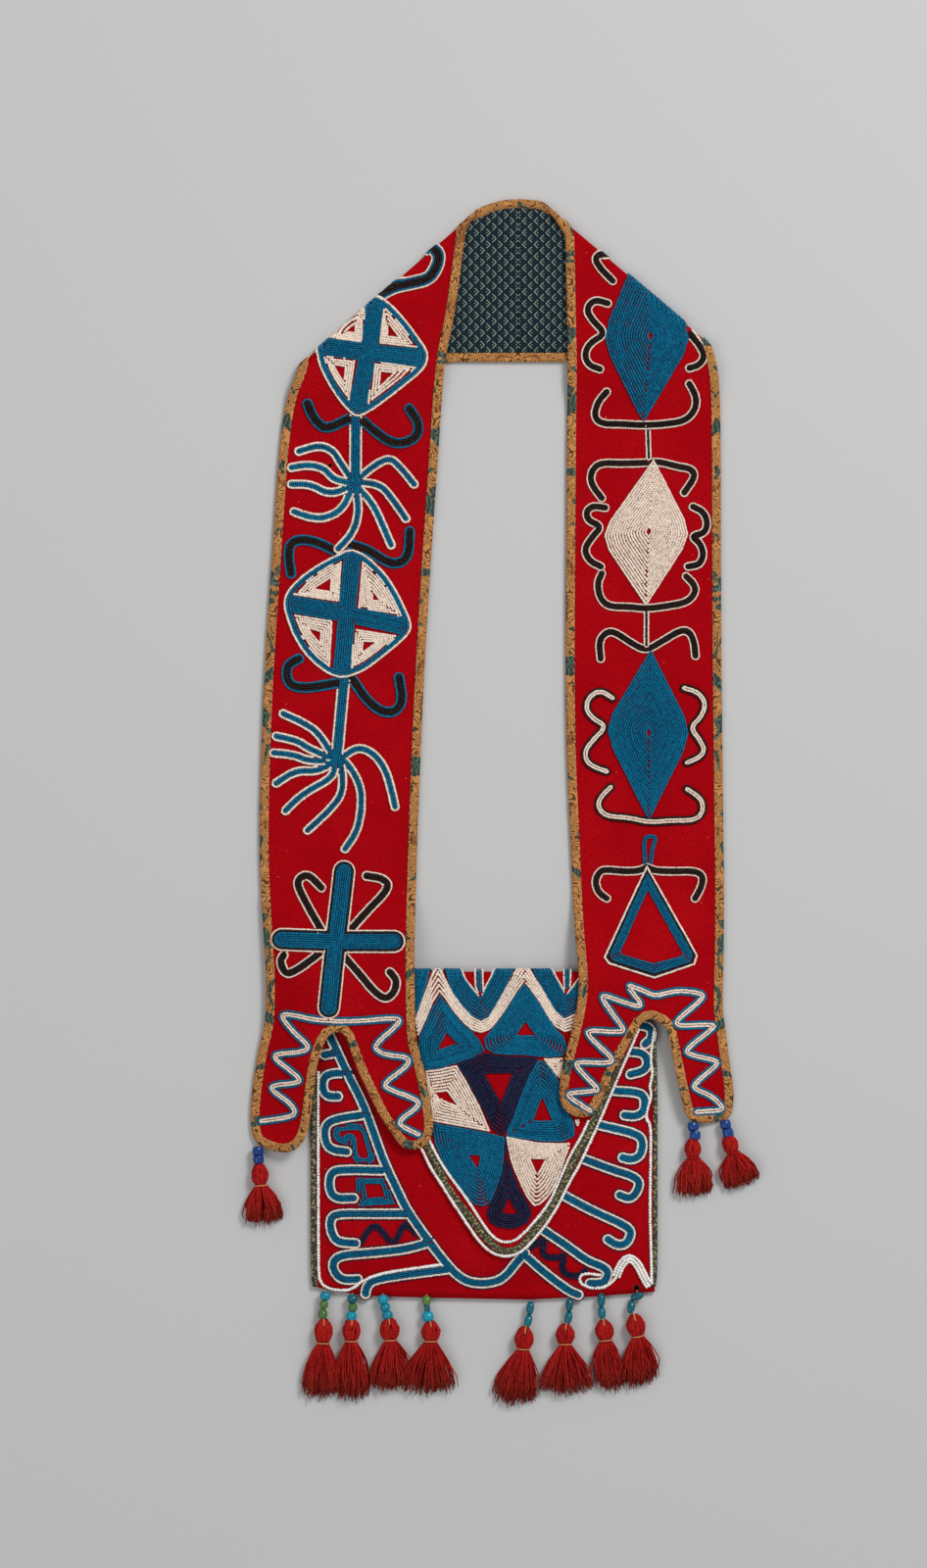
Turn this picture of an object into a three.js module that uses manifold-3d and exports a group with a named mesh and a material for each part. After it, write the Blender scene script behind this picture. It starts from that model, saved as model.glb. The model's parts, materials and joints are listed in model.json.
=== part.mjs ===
// A beaded shoulder bag of red wool, lying flat, face up. Millimetres, +Z up, +Y towards the shoulder folds.
// The strap's two halves fold over at the shoulders and end in forked tabs that lie on the pouch.
import * as THREE from 'three';
import { mergeVertices } from 'three/addons/utils/BufferGeometryUtils.js';
import Module from 'manifold-3d';

const wasm = await Module();
wasm.setup();

// Driving sizes
const STRAP_WIDTH = 93; // across one half of the strap
const STRAP_DROP = 391; // from the back band's lower edge down to the fork between two tabs
const BACK_BAND_WIDTH = 95; // the band behind the neck, top to bottom at the centre seam
const SEAM_GAP = 0.4; // between the two halves at the centre back
const POUCH_WIDTH = 203;
const POUCH_HEIGHT = 161; // from the mouth to the hem
const POCKET_DEPTH = 4.6; // room between the pouch's two panels
const SIDE_SLOPE = 25; // how far in from its edges the front panel comes up to full height
const SEAM_WIDTH = 2; // the flat edge where the two panels are sewn together
const CLOTH = 1.2; // thickness of the red wool
const LINING = 0.6; // thickness of the strap's lining
const BINDING = 0.5; // thickness of the calico binding
const STRAP_BINDING_WIDTH = 5.2;
const POUCH_LEFT_BINDING = 4; // width of the side binding's lip
const POUCH_RIGHT_BINDING = 1.5;
const BEAD_ROW = 1.45; // width of one row of seed beads
const BEAD_HEIGHT = 1.3;
const LAYER_GAP = 0.25; // clearance between layers that are sewn together
const EDGE_GAP = 0.8; // clearance between a strap's edge and the binding folded round it
const STRING_GAP = 0.4; // clearance at both ends of a bead string
const STRAP_RISE = 46; // the length over which the strap climbs onto the pouch
const FALL_START = 6; // how far inside the pouch's edge the strap starts to come down
const STRAP_FALL = 44; // the length over which the strap comes down beside the pouch
const FOLD_DROP = 24; // the length over which the strap comes down off the back band
const FLAP_HEM = 20; // the end of the flap's cloth that is sewn to the back panel
const HEAD_WIDTH = 11; // a tassel's head
const HEAD_LENGTH = 11;
const TASSEL_DEPTH = 10; // a lying tassel's height above the table
const STRAP_TASSEL_HEAD = 9.5;
const THREAD_WIDTH = 1.6;
const MITRE_LIMIT = 0.6; // how sharp a corner of a bead band may be before it is cut off

// The pattern is drawn in units of about 0.57 mm, u to the right and v down, on four carriers.
const STRAP_WIDTH_UNITS = 162;
const STRAP_DROP_UNITS = 682;
const POUCH_WIDTH_UNITS = 354;
const POUCH_HEIGHT_UNITS = 280;
const POUCH_ORIGIN = [495, 1045];
const LEFT_FORK = [343, 1051];
const RIGHT_FORK = [662, 1038];

const unitX = POUCH_WIDTH / POUCH_WIDTH_UNITS;
const unitY = POUCH_HEIGHT / POUCH_HEIGHT_UNITS;
const strapUnitX = STRAP_WIDTH / STRAP_WIDTH_UNITS;
const strapUnitY = STRAP_DROP / STRAP_DROP_UNITS;

// Places a point of the pouch's pattern.
function onPouch([u, v]) {
  return [(u - POUCH_ORIGIN[0]) * unitX, (POUCH_ORIGIN[1] - v) * unitY];
}

// Gives the function that places a point of one strap half's pattern, measured from its fork.
function strapCarrier(fork) {
  const [forkX, forkY] = onPouch(fork);
  return ([u, v]) => [forkX + (u - fork[0]) * strapUnitX, forkY + (fork[1] - v) * strapUnitY];
}

const onLeft = strapCarrier(LEFT_FORK);
const onRight = strapCarrier(RIGHT_FORK);

// Heights of the strap's layers above its own underside
const strapCloth = LINING + LAYER_GAP;
const strapTop = strapCloth + CLOTH + LAYER_GAP;
const strapBeadTop = strapTop + BEAD_HEIGHT;

// Solids and flat outlines

function toSolid(geometry) {
  const bare = geometry.index ? geometry.toNonIndexed() : geometry.clone();
  bare.deleteAttribute('normal');
  bare.deleteAttribute('uv');
  const merged = mergeVertices(bare, 1e-4);
  const vertProperties = new Float32Array(merged.attributes.position.array);
  const triVerts = new Uint32Array(merged.index.array);
  return new wasm.Manifold(new wasm.Mesh({ numProp: 3, vertProperties, triVerts }));
}

// The points of a closed outline, turning to the left if turn is 1 and to the right if it is -1.
function turning(outline, turn) {
  const points = outline.map(([x, y]) => new THREE.Vector2(x, y));
  return Math.sign(THREE.ShapeUtils.area(points)) === turn ? points : points.reverse();
}

// An outline with holes, from height low to height high.
function prism(outline, low, high, holes = []) {
  const shape = new THREE.Shape(turning(outline, 1));
  for (const hole of holes) shape.holes.push(new THREE.Path(turning(hole, -1)));
  const geometry = new THREE.ExtrudeGeometry(shape, { depth: high - low, bevelEnabled: false });
  return toSolid(geometry.translate(0, 0, low));
}

function joined(solids) {
  return solids.reduce((whole, solid) => whole.add(solid));
}

// Moves every edge of a closed outline sideways by the same distance, outwards if it is above 0.
function grown(outline, distance) {
  const area = THREE.ShapeUtils.area(outline.map(([x, y]) => new THREE.Vector2(x, y)));
  const turn = Math.sign(area);
  const count = outline.length;
  return outline.map(([x, y], index) => {
    const [px, py] = outline[(index + count - 1) % count];
    const [nx, ny] = outline[(index + 1) % count];
    const before = Math.hypot(x - px, y - py);
    const after = Math.hypot(nx - x, ny - y);
    const a = [turn * (y - py) / before, turn * (px - x) / before];
    const b = [turn * (ny - y) / after, turn * (x - nx) / after];
    const scale = distance / Math.max(1 + a[0] * b[0] + a[1] * b[1], 0.4);
    return [x + (a[0] + b[0]) * scale, y + (a[1] + b[1]) * scale];
  });
}

// A band of even width along a line of points, with mitred corners.
function band(points, width, low, high) {
  const sideOf = (turn) => points.map(([x, y], index) => {
    const [px, py] = points[Math.max(index - 1, 0)];
    const [nx, ny] = points[Math.min(index + 1, points.length - 1)];
    const before = Math.hypot(x - px, y - py) || Infinity;
    const after = Math.hypot(nx - x, ny - y) || Infinity;
    const a = [(py - y) / before, (x - px) / before];
    const b = [(y - ny) / after, (nx - x) / after];
    const share = Math.max((a[0] + b[0]) ** 2 + (a[1] + b[1]) ** 2, MITRE_LIMIT);
    const reach = (turn * width) / share;
    return [x + (a[0] + b[0]) * reach, y + (a[1] + b[1]) * reach];
  });
  const last = points.length - 1;
  const half = width / 2;
  const [left, right] = [1, -1].map((turn) => {
    const side = sideOf(turn);
    for (const [end, next] of [[0, 1], [last, last - 1]]) {
      const length = Math.hypot(points[end][0] - points[next][0], points[end][1] - points[next][1]);
      const facing = end === 0 ? turn : -turn;
      side[end] = [
        points[end][0] + facing * half * (points[end][1] - points[next][1]) / length,
        points[end][1] - facing * half * (points[end][0] - points[next][0]) / length,
      ];
    }
    return side;
  });
  return prism([...left, ...right.reverse()], low, high);
}

// Splits the edges that cross vertical planes, so that a flat solid can bend along those planes. A plane with
// a limit only splits edges that lie wholly at or below that y.
function split(geometry, planes) {
  const source = geometry.attributes.position.array;
  const points = [];
  for (let index = 0; index < source.length; index += 3) points.push([...source.slice(index, index + 3)]);
  let triangles = [];
  const order = geometry.index.array;
  for (let index = 0; index < order.length; index += 3) triangles.push([...order.slice(index, index + 3)]);
  for (const { point, normal, limit = Infinity } of planes) {
    const side = (place) => (place[0] - point[0]) * normal[0] + (place[1] - point[1]) * normal[1];
    const distance = points.map((place) => (Math.abs(side(place)) < 1e-4 ? 0 : side(place)));
    const cuts = new Map();
    const cut = (a, b) => {
      const key = a < b ? `${a} ${b}` : `${b} ${a}`;
      if (!cuts.has(key)) {
        const share = distance[a] / (distance[a] - distance[b]);
        points.push(points[a].map((value, axis) => value + (points[b][axis] - value) * share));
        distance.push(0);
        cuts.set(key, points.length - 1);
      }
      return cuts.get(key);
    };
    const crosses = (a, b) => distance[a] * distance[b] < 0
      && Math.max(points[a][1], points[b][1]) < limit + 1e-3;
    const next = [];
    for (const [a, b, c] of triangles) {
      const turned = [[a, b, c], [b, c, a], [c, a, b]];
      const crossed = turned.filter(([from, to]) => crosses(from, to));
      if (crossed.length === 0) {
        next.push([a, b, c]);
      } else if (crossed.length === 1) {
        const [from, to, other] = crossed[0];
        const middle = cut(from, to);
        next.push([from, middle, other], [middle, to, other]);
      } else {
        const [from, to, tip] = turned.find(([first, second]) => !crosses(first, second));
        const near = cut(to, tip);
        const far = cut(tip, from);
        next.push([tip, far, near], [from, to, near], [from, near, far]);
      }
    }
    triangles = next;
  }
  return { points, triangles };
}

// Splits a flat solid along the planes where its carrier bends, then moves each of its points by the carrier.
function draped(solid, carrier) {
  const flat = solid.getMesh();
  const geometry = new THREE.BufferGeometry();
  geometry.setAttribute('position', new THREE.BufferAttribute(flat.vertProperties, 3));
  geometry.setIndex(new THREE.BufferAttribute(flat.triVerts, 1));
  const { points, triangles } = split(geometry, carrier.planes);
  const bent = new THREE.BufferGeometry();
  const places = points.flatMap((place) => carrier.place(place));
  bent.setAttribute('position', new THREE.Float32BufferAttribute(places, 3));
  bent.setIndex(triangles.flat());
  return mergeVertices(bent, 1e-4);
}

// A share held between 0 and 1.
function ramp(share) {
  return Math.min(Math.max(share, 0), 1);
}

// The vertical plane at one x or one y.
const acrossX = (x, limit) => ({ point: [x, 0], normal: [1, 0], limit });
const acrossY = (y) => ({ point: [0, y], normal: [0, 1] });

// The vertical plane through two points.
function through([x0, y0], [x1, y1], limit) {
  const length = Math.hypot(x1 - x0, y1 - y0);
  return { point: [x0, y0], normal: [(y1 - y0) / length, (x0 - x1) / length], limit };
}

// A fold along a line: what lies past the line in the flat pattern turns over and comes back underneath.
// The bend's middle lies at height axisHeight. A layer at height t of the pattern turns on radius t + inner.
function hairpin(start, end, inner, middle, axisHeight) {
  const length = Math.hypot(end[0] - start[0], end[1] - start[1]);
  const along = [(end[0] - start[0]) / length, (end[1] - start[1]) / length];
  const normal = [along[1], -along[0]];
  const bend = Math.PI * middle;
  const depth = ([x, y]) => (x - start[0]) * normal[0] + (y - start[1]) * normal[1];
  const shift = ([x, y], distance) => [x + normal[0] * distance, y + normal[1] * distance];
  const bends = [0, 0.33, 0.67, 1];
  const planes = bends.map((share) => ({ point: shift(start, -bend * share), normal }));
  // Unfolds a point of the back leg into the flat pattern.
  const unfold = (point) => shift(point, -2 * depth(point) - bend);
  const place = ([x, y, height]) => {
    const distance = depth([x, y]);
    const radius = height + inner;
    if (distance >= 0) return [x, y, axisHeight + radius];
    if (distance <= -bend) return [...shift([x, y], -2 * distance - bend), axisHeight - radius];
    const foot = shift([x, y], -distance);
    const share = -distance / bend;
    const first = bends.findLastIndex((bound) => bound <= share);
    const mix = (share - bends[first]) / (bends[first + 1] - bends[first]);
    const [out, up] = [Math.sin, Math.cos].map((turn) => (
      radius * (turn(Math.PI * bends[first]) * (1 - mix) + turn(Math.PI * bends[first + 1]) * mix)));
    return [...shift(foot, -out), axisHeight + up];
  };
  return { planes, unfold, place, depth, shift, start, end };
}

// Pouch: two panels with the pocket between them, and the flap folded over from the back

const pouchTopLeft = [323, 1045];
const pouchTopRight = [671, 1045];
const POUCH_HEM = [[671, 1300], [667, 1317], [604, 1321], [537, 1325], [434, 1323], [371, 1321], [325, 1312]];
const POUCH_SIDES = { right: [[669, 1130], [668, 1230]], left: [[318, 1290], [317, 1190], [319, 1110]] };
const BACK_PANEL_TOP = [[352, 1004], [640, 1004]];
const pouchOutline = [pouchTopRight, ...POUCH_SIDES.right, ...POUCH_HEM, ...POUCH_SIDES.left, pouchTopLeft]
  .map(onPouch);
const backOutline = [BACK_PANEL_TOP[1], pouchTopRight, ...POUCH_SIDES.right, ...POUCH_HEM,
  ...POUCH_SIDES.left, pouchTopLeft, BACK_PANEL_TOP[0]].map(onPouch);
const pouchLeft = onPouch([317, 0])[0];
const pouchRight = onPouch([671, 0])[0];
const hemLine = onPouch([0, 1325])[1];

const seamHeight = CLOTH + LAYER_GAP;
const frontHeight = CLOTH + POCKET_DEPTH;
const flapHeight = frontHeight + CLOTH + LAYER_GAP;
const flapBeadHeight = flapHeight + CLOTH + LAYER_GAP;
const pouchTop = flapBeadHeight + BEAD_HEIGHT;

// The front panel comes up from its seams on three straight slopes, which meet in creases at the corners.
const slopeFoot = { left: pouchLeft + SEAM_WIDTH, right: pouchRight - SEAM_WIDTH, hem: hemLine + SEAM_WIDTH };
const slopeTop = { left: pouchLeft + SIDE_SLOPE, right: pouchRight - SIDE_SLOPE, hem: hemLine + SIDE_SLOPE };
const frontCarrier = {
  planes: [
    ...[slopeFoot.left, slopeTop.left, slopeTop.right, slopeFoot.right].map((x) => acrossX(x)),
    ...[slopeFoot.hem, slopeTop.hem].map(acrossY),
    through([slopeFoot.left, slopeFoot.hem], [slopeTop.left, slopeTop.hem], slopeTop.hem),
    through([slopeFoot.right, slopeFoot.hem], [slopeTop.right, slopeTop.hem], slopeTop.hem),
  ],
  place: ([x, y, height]) => {
    const run = SIDE_SLOPE - SEAM_WIDTH;
    const inside = Math.min(x - slopeFoot.left, slopeFoot.right - x, y - slopeFoot.hem) / run;
    return [x, y, seamHeight + (frontHeight - seamHeight) * ramp(inside) + height];
  },
};
const frontBeads = CLOTH + LAYER_GAP;

// The flap's fold: its outer face turns from the flap's top down to the back panel.
const flapOuterRadius = (flapHeight + CLOTH - seamHeight) / 2;
const flapAxisHeight = (flapHeight + CLOTH + seamHeight) / 2;
const flapFoldLine = onPouch([0, 990])[1] - flapOuterRadius;
const flapFold = hairpin(
  [-POUCH_WIDTH, flapFoldLine],
  [POUCH_WIDTH, flapFoldLine],
  flapOuterRadius - CLOTH,
  flapOuterRadius - CLOTH / 2,
  flapAxisHeight,
);
const FLAP_EDGE = [[350, 996], [431, 1168], [448, 1208], [463, 1229], [484, 1255], [505, 1276], [518, 1281],
  [535, 1274], [547, 1261], [575, 1221], [589, 1187], [614, 1136], [652, 1046],
  [656, 996]];
const flapEdge = FLAP_EDGE.map(onPouch);
const flapHemEnd = flapFoldLine - FLAP_HEM;
const flapOutline = [
  ...flapEdge,
  flapFold.unfold([flapEdge[flapEdge.length - 1][0], flapHemEnd]),
  flapFold.unfold([flapEdge[0][0], flapHemEnd]),
];

// Strap: each half is drawn flat, front leg and unfolded back leg, and folds over at the shoulder

const LEFT_STRAP = {
  place: onLeft,
  fold: [[308, 376], [481, 225]],
  silhouette: [[305, 383], [294, 408], [285, 448], [270, 680], [265, 840], [269, 954], [272, 1000],
    [271, 1045], [264, 1069], [257, 1111], [255, 1139], [258, 1160], [272, 1172], [289, 1176],
    [304, 1171], [314, 1157], [321, 1107], [328, 1072], [335, 1056], [343, 1051], [351, 1054],
    [366, 1093], [387, 1136], [407, 1166], [421, 1172], [436, 1166], [443, 1148], [438, 1115],
    [426, 1062], [423, 967], [429, 760], [440, 565], [453, 371], [462, 331], [477, 240]],
};
const RIGHT_STRAP = {
  place: onRight,
  fold: [[575, 230], [719, 352]],
  silhouette: [[576, 240], [579, 333], [578, 547], [578, 767], [586, 948], [590, 1000], [586, 1041],
    [573, 1092], [570, 1115], [578, 1134], [593, 1140], [607, 1135], [629, 1087], [654, 1044],
    [662, 1038], [670, 1041], [679, 1049], [688, 1087], [699, 1137], [707, 1144], [720, 1146],
    [740, 1142], [748, 1128], [748, 1108], [740, 1047], [737, 1028], [739, 916], [736, 660], [735, 420],
    [731, 371]],
};
const SEAM = 528.5; // u of the centre back seam
const SEAM_FOOT = 369; // v of the back band's lower edge
const LEFT_BACK_ARCH = [[505, 209]];
const RIGHT_BACK_ARCH = [[551, 209]];
const BACK_RUN = [[480, 369], [600, 369]];

const foldInner = LAYER_GAP / 2 + 0.05;
const foldMiddle = foldInner + strapCloth + CLOTH / 2;
const foldAxisHeight = strapTop + BINDING + foldInner;
const strapLift = foldAxisHeight + foldInner;
const backFoot = onLeft([0, SEAM_FOOT])[1];
const seamX = (onLeft([SEAM, 0])[0] + onRight([SEAM, 0])[0]) / 2;

// The height of a strap half's underside: over the back band, along the table, up onto the pouch and down
// beside it, on straight slopes that meet in a crease.
function strapDrape(fold, outward) {
  const edge = outward < 0 ? pouchLeft : pouchRight;
  const fallTop = edge - outward * FALL_START;
  const fallFoot = fallTop + outward * STRAP_FALL;
  const riseTop = onPouch([0, 984])[1];
  const riseFoot = riseTop + STRAP_RISE;
  const perch = pouchTop + LAYER_GAP;
  const dropTop = Math.min(backFoot, fold.start[1], fold.end[1]) - STRAP_BINDING_WIDTH;
  const place = (point) => {
    const [x, y, z] = fold.place(point);
    if (fold.depth(point) < 0) return [x, y, z];
    const off = ramp((dropTop - y) / FOLD_DROP);
    const up = Math.min(ramp((riseFoot - y) / STRAP_RISE), ramp((outward * (fallFoot - x)) / STRAP_FALL));
    return [x, y, z - strapLift * off + perch * up];
  };
  const planes = [
    ...fold.planes,
    acrossY(dropTop),
    acrossY(dropTop - FOLD_DROP),
    acrossY(riseFoot),
    acrossY(riseTop),
    acrossX(fallTop, riseFoot),
    acrossX(fallFoot, riseFoot),
    through([fallTop, riseTop], [fallFoot, riseFoot], riseFoot),
  ];
  return { planes, place };
}

function strapHalf(strap, outward, arch, run) {
  const [start, end] = strap.fold.map(strap.place);
  const fold = hairpin(start, end, foldInner, foldMiddle, foldAxisHeight);
  const seam = seamX + outward * (SEAM_GAP / 2);
  const top = [seam, backFoot + BACK_BAND_WIDTH];
  const foot = [seam, backFoot];
  const archPoints = arch.map(strap.place);
  const runPoint = [run[0], run[1]];
  const back = outward < 0
    ? [...archPoints, top, foot, strap.place(runPoint)]
    : [strap.place(runPoint), foot, top, ...archPoints];
  const outline = [...strap.silhouette.map(strap.place), ...back.map(fold.unfold)];
  const margin = STRAP_BINDING_WIDTH + EDGE_GAP;
  const seamStrip = [
    [seam - outward, top[1] - STRAP_BINDING_WIDTH],
    [seam + outward * 3 * STRAP_BINDING_WIDTH, top[1] - STRAP_BINDING_WIDTH],
    [seam + outward * 3 * STRAP_BINDING_WIDTH, foot[1] + STRAP_BINDING_WIDTH],
    [seam - outward, foot[1] + STRAP_BINDING_WIDTH],
  ].map(fold.unfold);
  const pastSeam = [
    [seam, top[1] + 50],
    [seam - outward * 20, top[1] + 50],
    [seam - outward * 20, foot[1] - 50],
    [seam, foot[1] - 50],
  ].map(fold.unfold);
  const outside = grown(outline, EDGE_GAP + BINDING);
  const inside = grown(outline, EDGE_GAP);
  const opening = grown(outline, -STRAP_BINDING_WIDTH);
  const binding = prism(outside, 0, strapTop + BINDING)
    .subtract(prism(inside, LINING, strapTop))
    .subtract(prism(opening, -1, strapTop + BINDING + 1))
    .subtract(prism(seamStrip, -1, strapTop + BINDING + 1))
    .subtract(prism(pastSeam, -1, strapTop + BINDING + 1));
  return {
    carrier: strapDrape(fold, outward),
    fold,
    cloth: prism(outline, strapCloth, strapCloth + CLOTH),
    lining: prism(grown(outline, -margin), 0, LINING),
    field: prism(grown(outline, -margin), 0, 2 * strapBeadTop),
    binding,
  };
}

const left = strapHalf(LEFT_STRAP, -1, LEFT_BACK_ARCH, BACK_RUN[0]);
const right = strapHalf(RIGHT_STRAP, 1, RIGHT_BACK_ARCH, BACK_RUN[1]);

// Beadwork. A stroke is a line of points with a number of rows; a field is an outline with bare centres.

const stroke = (points, rows) => ({ points, rows });
const field = (outline, ...bare) => ({ outline, bare });

const CURL = stroke([[388, 300], [402, 293], [421, 289], [438, 285], [446, 272], [448, 262], [443, 254]], 6);
const UPPER_WHEEL = field(
  [[387, 302], [405, 316], [425, 341], [438, 361], [434, 376], [410, 397], [388, 414], [364, 427], [345, 408],
    [330, 385], [322, 362], [324, 350], [345, 332], [370, 311]],
  [[362, 332], [353, 339], [362, 340]],
  [[396, 331], [396, 343], [407, 345]],
  [[341, 373], [353, 374], [351, 388]],
  [[389, 380], [400, 381], [388, 394]],
);
const UPPER_WHEEL_STROKES = [
  stroke([[314, 412], [318, 423], [326, 434], [335, 437], [358, 424]], 4),
  stroke([[369, 424], [385, 442], [398, 450], [412, 452], [425, 446], [428, 433], [417, 417]], 4),
  stroke([[363, 424], [362, 490]], 6),
];
const UPPER_HAND = [
  stroke([[359, 491], [346, 470], [340, 460], [326, 454], [305, 460]], 4),
  stroke([[361, 492], [339, 488], [331, 478], [314, 474], [298, 477]], 4),
  stroke([[361, 494], [335, 504], [317, 494], [298, 494]], 4),
  stroke([[360, 496], [349, 520], [331, 529], [315, 527], [300, 522]], 4),
  stroke([[362, 496], [366, 524], [360, 542], [354, 550]], 4),
  stroke([[361, 491], [383, 474], [397, 467], [408, 476], [422, 494]], 4),
  stroke([[361, 492], [389, 495], [401, 510], [414, 529]], 4),
  stroke([[362, 494], [381, 515], [390, 535], [399, 555]], 4),
];
const LOWER_WHEEL = field(
  [[357, 560], [372, 565], [392, 583], [410, 610], [420, 638], [414, 651], [385, 676], [349, 692], [322, 671],
    [303, 648], [290, 617], [297, 599], [320, 577]],
  [[338, 590], [322, 600], [337, 602]],
  [[381, 604], [381, 612], [387, 611]],
  [[315, 642], [327, 643], [326, 653]],
  [[371, 655], [383, 655], [370, 664]],
);
const LOWER_WHEEL_STROKES = [
  stroke([[346, 566], [328, 556], [312, 550], [298, 553], [294, 565], [297, 585]], 4),
  stroke([[366, 566], [376, 562], [392, 573], [406, 576], [417, 567], [418, 542]], 4),
  stroke([[305, 672], [294, 678], [292, 690], [298, 700], [314, 702], [350, 690]], 4),
  stroke([[352, 688], [370, 709], [384, 723], [395, 727], [404, 725], [411, 715], [407, 691]], 4),
  stroke([[350, 689], [343, 770]], 6),
];
const LOWER_HAND = [
  stroke([[342, 771], [325, 748], [313, 739], [289, 728]], 4),
  stroke([[343, 772], [314, 763], [304, 756], [282, 751]], 4),
  stroke([[343, 775], [314, 776], [300, 770], [280, 768]], 4),
  stroke([[343, 776], [322, 787], [302, 786], [282, 799]], 4),
  stroke([[343, 776], [338, 794], [314, 807], [301, 816], [292, 827]], 4),
  stroke([[346, 774], [350, 808], [336, 827], [314, 846]], 4),
  stroke([[347, 772], [368, 800], [369, 825], [364, 849], [353, 867]], 4),
  stroke([[343, 774], [365, 762], [381, 768], [393, 784], [399, 804], [403, 822]], 4),
];
const STAR = [
  stroke([[350, 880], [344, 960], [337, 1032]], 17),
  stroke([[282, 958], [343, 962], [407, 959]], 17),
  stroke([[330, 953], [315, 926], [303, 903], [306, 895], [315, 893], [328, 905]], 4),
  stroke([[354, 953], [374, 930], [398, 905], [391, 896], [374, 894]], 4),
  stroke([[328, 972], [304, 989], [292, 994], [287, 976]], 4),
  stroke([[352, 975], [369, 995], [382, 1011], [394, 1019], [403, 1011], [405, 999], [399, 991]], 4),
];
const LEFT_ZIGZAG = [
  stroke([[344, 1041], [324, 1040], [289, 1034], [316, 1067], [280, 1076], [307, 1101], [276, 1109],
    [303, 1135], [268, 1143]], 4),
  stroke([[344, 1041], [366, 1041], [409, 1038], [381, 1067], [418, 1081], [391, 1106], [428, 1124],
    [406, 1144], [425, 1155]], 4),
];
const TOP_HOOK = [stroke([[627, 289], [614, 276], [607, 266], [612, 260], [620, 262]], 4)];
const UPPER_DIAMOND = field([[640, 281], [619, 346], [657, 433], [705, 346], [692, 320]]);
const UPPER_DIAMOND_STROKES = [
  stroke([[620, 310], [606, 306], [598, 316], [604, 327], [624, 341], [602, 350], [596, 362], [600, 373],
    [612, 377]], 4),
  stroke([[699, 342], [713, 352], [719, 364], [713, 373], [703, 376]], 4),
  stroke([[619, 400], [610, 410], [606, 425], [614, 433], [656, 434], [700, 429], [710, 417], [710, 404],
    [703, 392]], 4),
  stroke([[661, 430], [662, 462]], 3),
];
const MIDDLE_DIAMOND = field([[667, 474], [615, 547], [659, 620], [703, 545]]);
const MIDDLE_DIAMOND_STROKES = [
  stroke([[614, 506], [603, 494], [603, 481], [612, 474], [662, 475], [691, 477], [705, 479], [709, 487],
    [699, 501]], 4),
  stroke([[617, 518], [605, 516], [598, 522], [600, 531], [620, 541], [605, 547], [596, 560], [601, 572],
    [613, 578]], 4),
  stroke([[706, 516], [717, 522], [722, 533], [719, 544], [699, 547], [714, 554], [718, 565], [714, 576],
    [702, 578]], 4),
  stroke([[614, 587], [609, 597], [612, 612], [621, 619], [659, 621], [700, 615], [709, 606], [709, 597],
    [700, 588]], 4),
  stroke([[659, 618], [659, 647]], 3),
];
const LOWER_DIAMOND = field([[664, 662], [619, 745], [662, 838], [704, 747]]);
const LOWER_DIAMOND_STROKES = [
  stroke([[613, 672], [611, 655], [619, 645], [628, 645], [644, 656], [659, 665], [676, 654], [694, 643],
    [703, 645], [708, 654], [709, 669]], 4),
  stroke([[625, 711], [612, 704], [600, 712], [598, 724], [605, 733], [624, 743], [605, 755], [596, 767],
    [600, 780], [618, 787]], 4),
  stroke([[698, 702], [712, 706], [720, 717], [716, 731], [699, 744], [714, 755], [719, 766], [714, 774],
    [701, 778]], 4),
  stroke([[623, 803], [612, 814], [611, 825], [619, 834], [662, 838], [709, 837], [717, 828], [716, 815],
    [702, 805]], 4),
];
const TRIANGLE = field([[660, 882], [712, 975], [709, 984], [667, 998], [620, 983], [615, 976]],
  [[661, 910], [694, 972], [666, 980], [635, 971]]);
const TRIANGLE_STROKES = [
  stroke([[660, 889], [660, 854], [670, 854]], 3),
  stroke([[619, 916], [611, 911], [607, 900], [612, 889], [636, 889], [660, 887], [688, 889], [711, 889],
    [717, 900], [709, 916]], 4),
];
const RIGHT_ZIGZAG = [
  stroke([[646, 1008], [667, 1015], [695, 1010], [720, 1014], [689, 1043], [729, 1047], [699, 1073],
    [733, 1085], [707, 1109], [726, 1118], [738, 1131], [711, 1134]], 4),
  stroke([[646, 1008], [657, 1026], [636, 1022], [613, 1015], [637, 1051], [598, 1053], [626, 1082],
    [587, 1085], [610, 1111], [579, 1116], [602, 1131]], 4),
];
const FLAP_ZIGZAG = [stroke([[430, 1044], [447, 1001], [491, 1046], [534, 1000], [575, 1044]], 5)];
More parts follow.
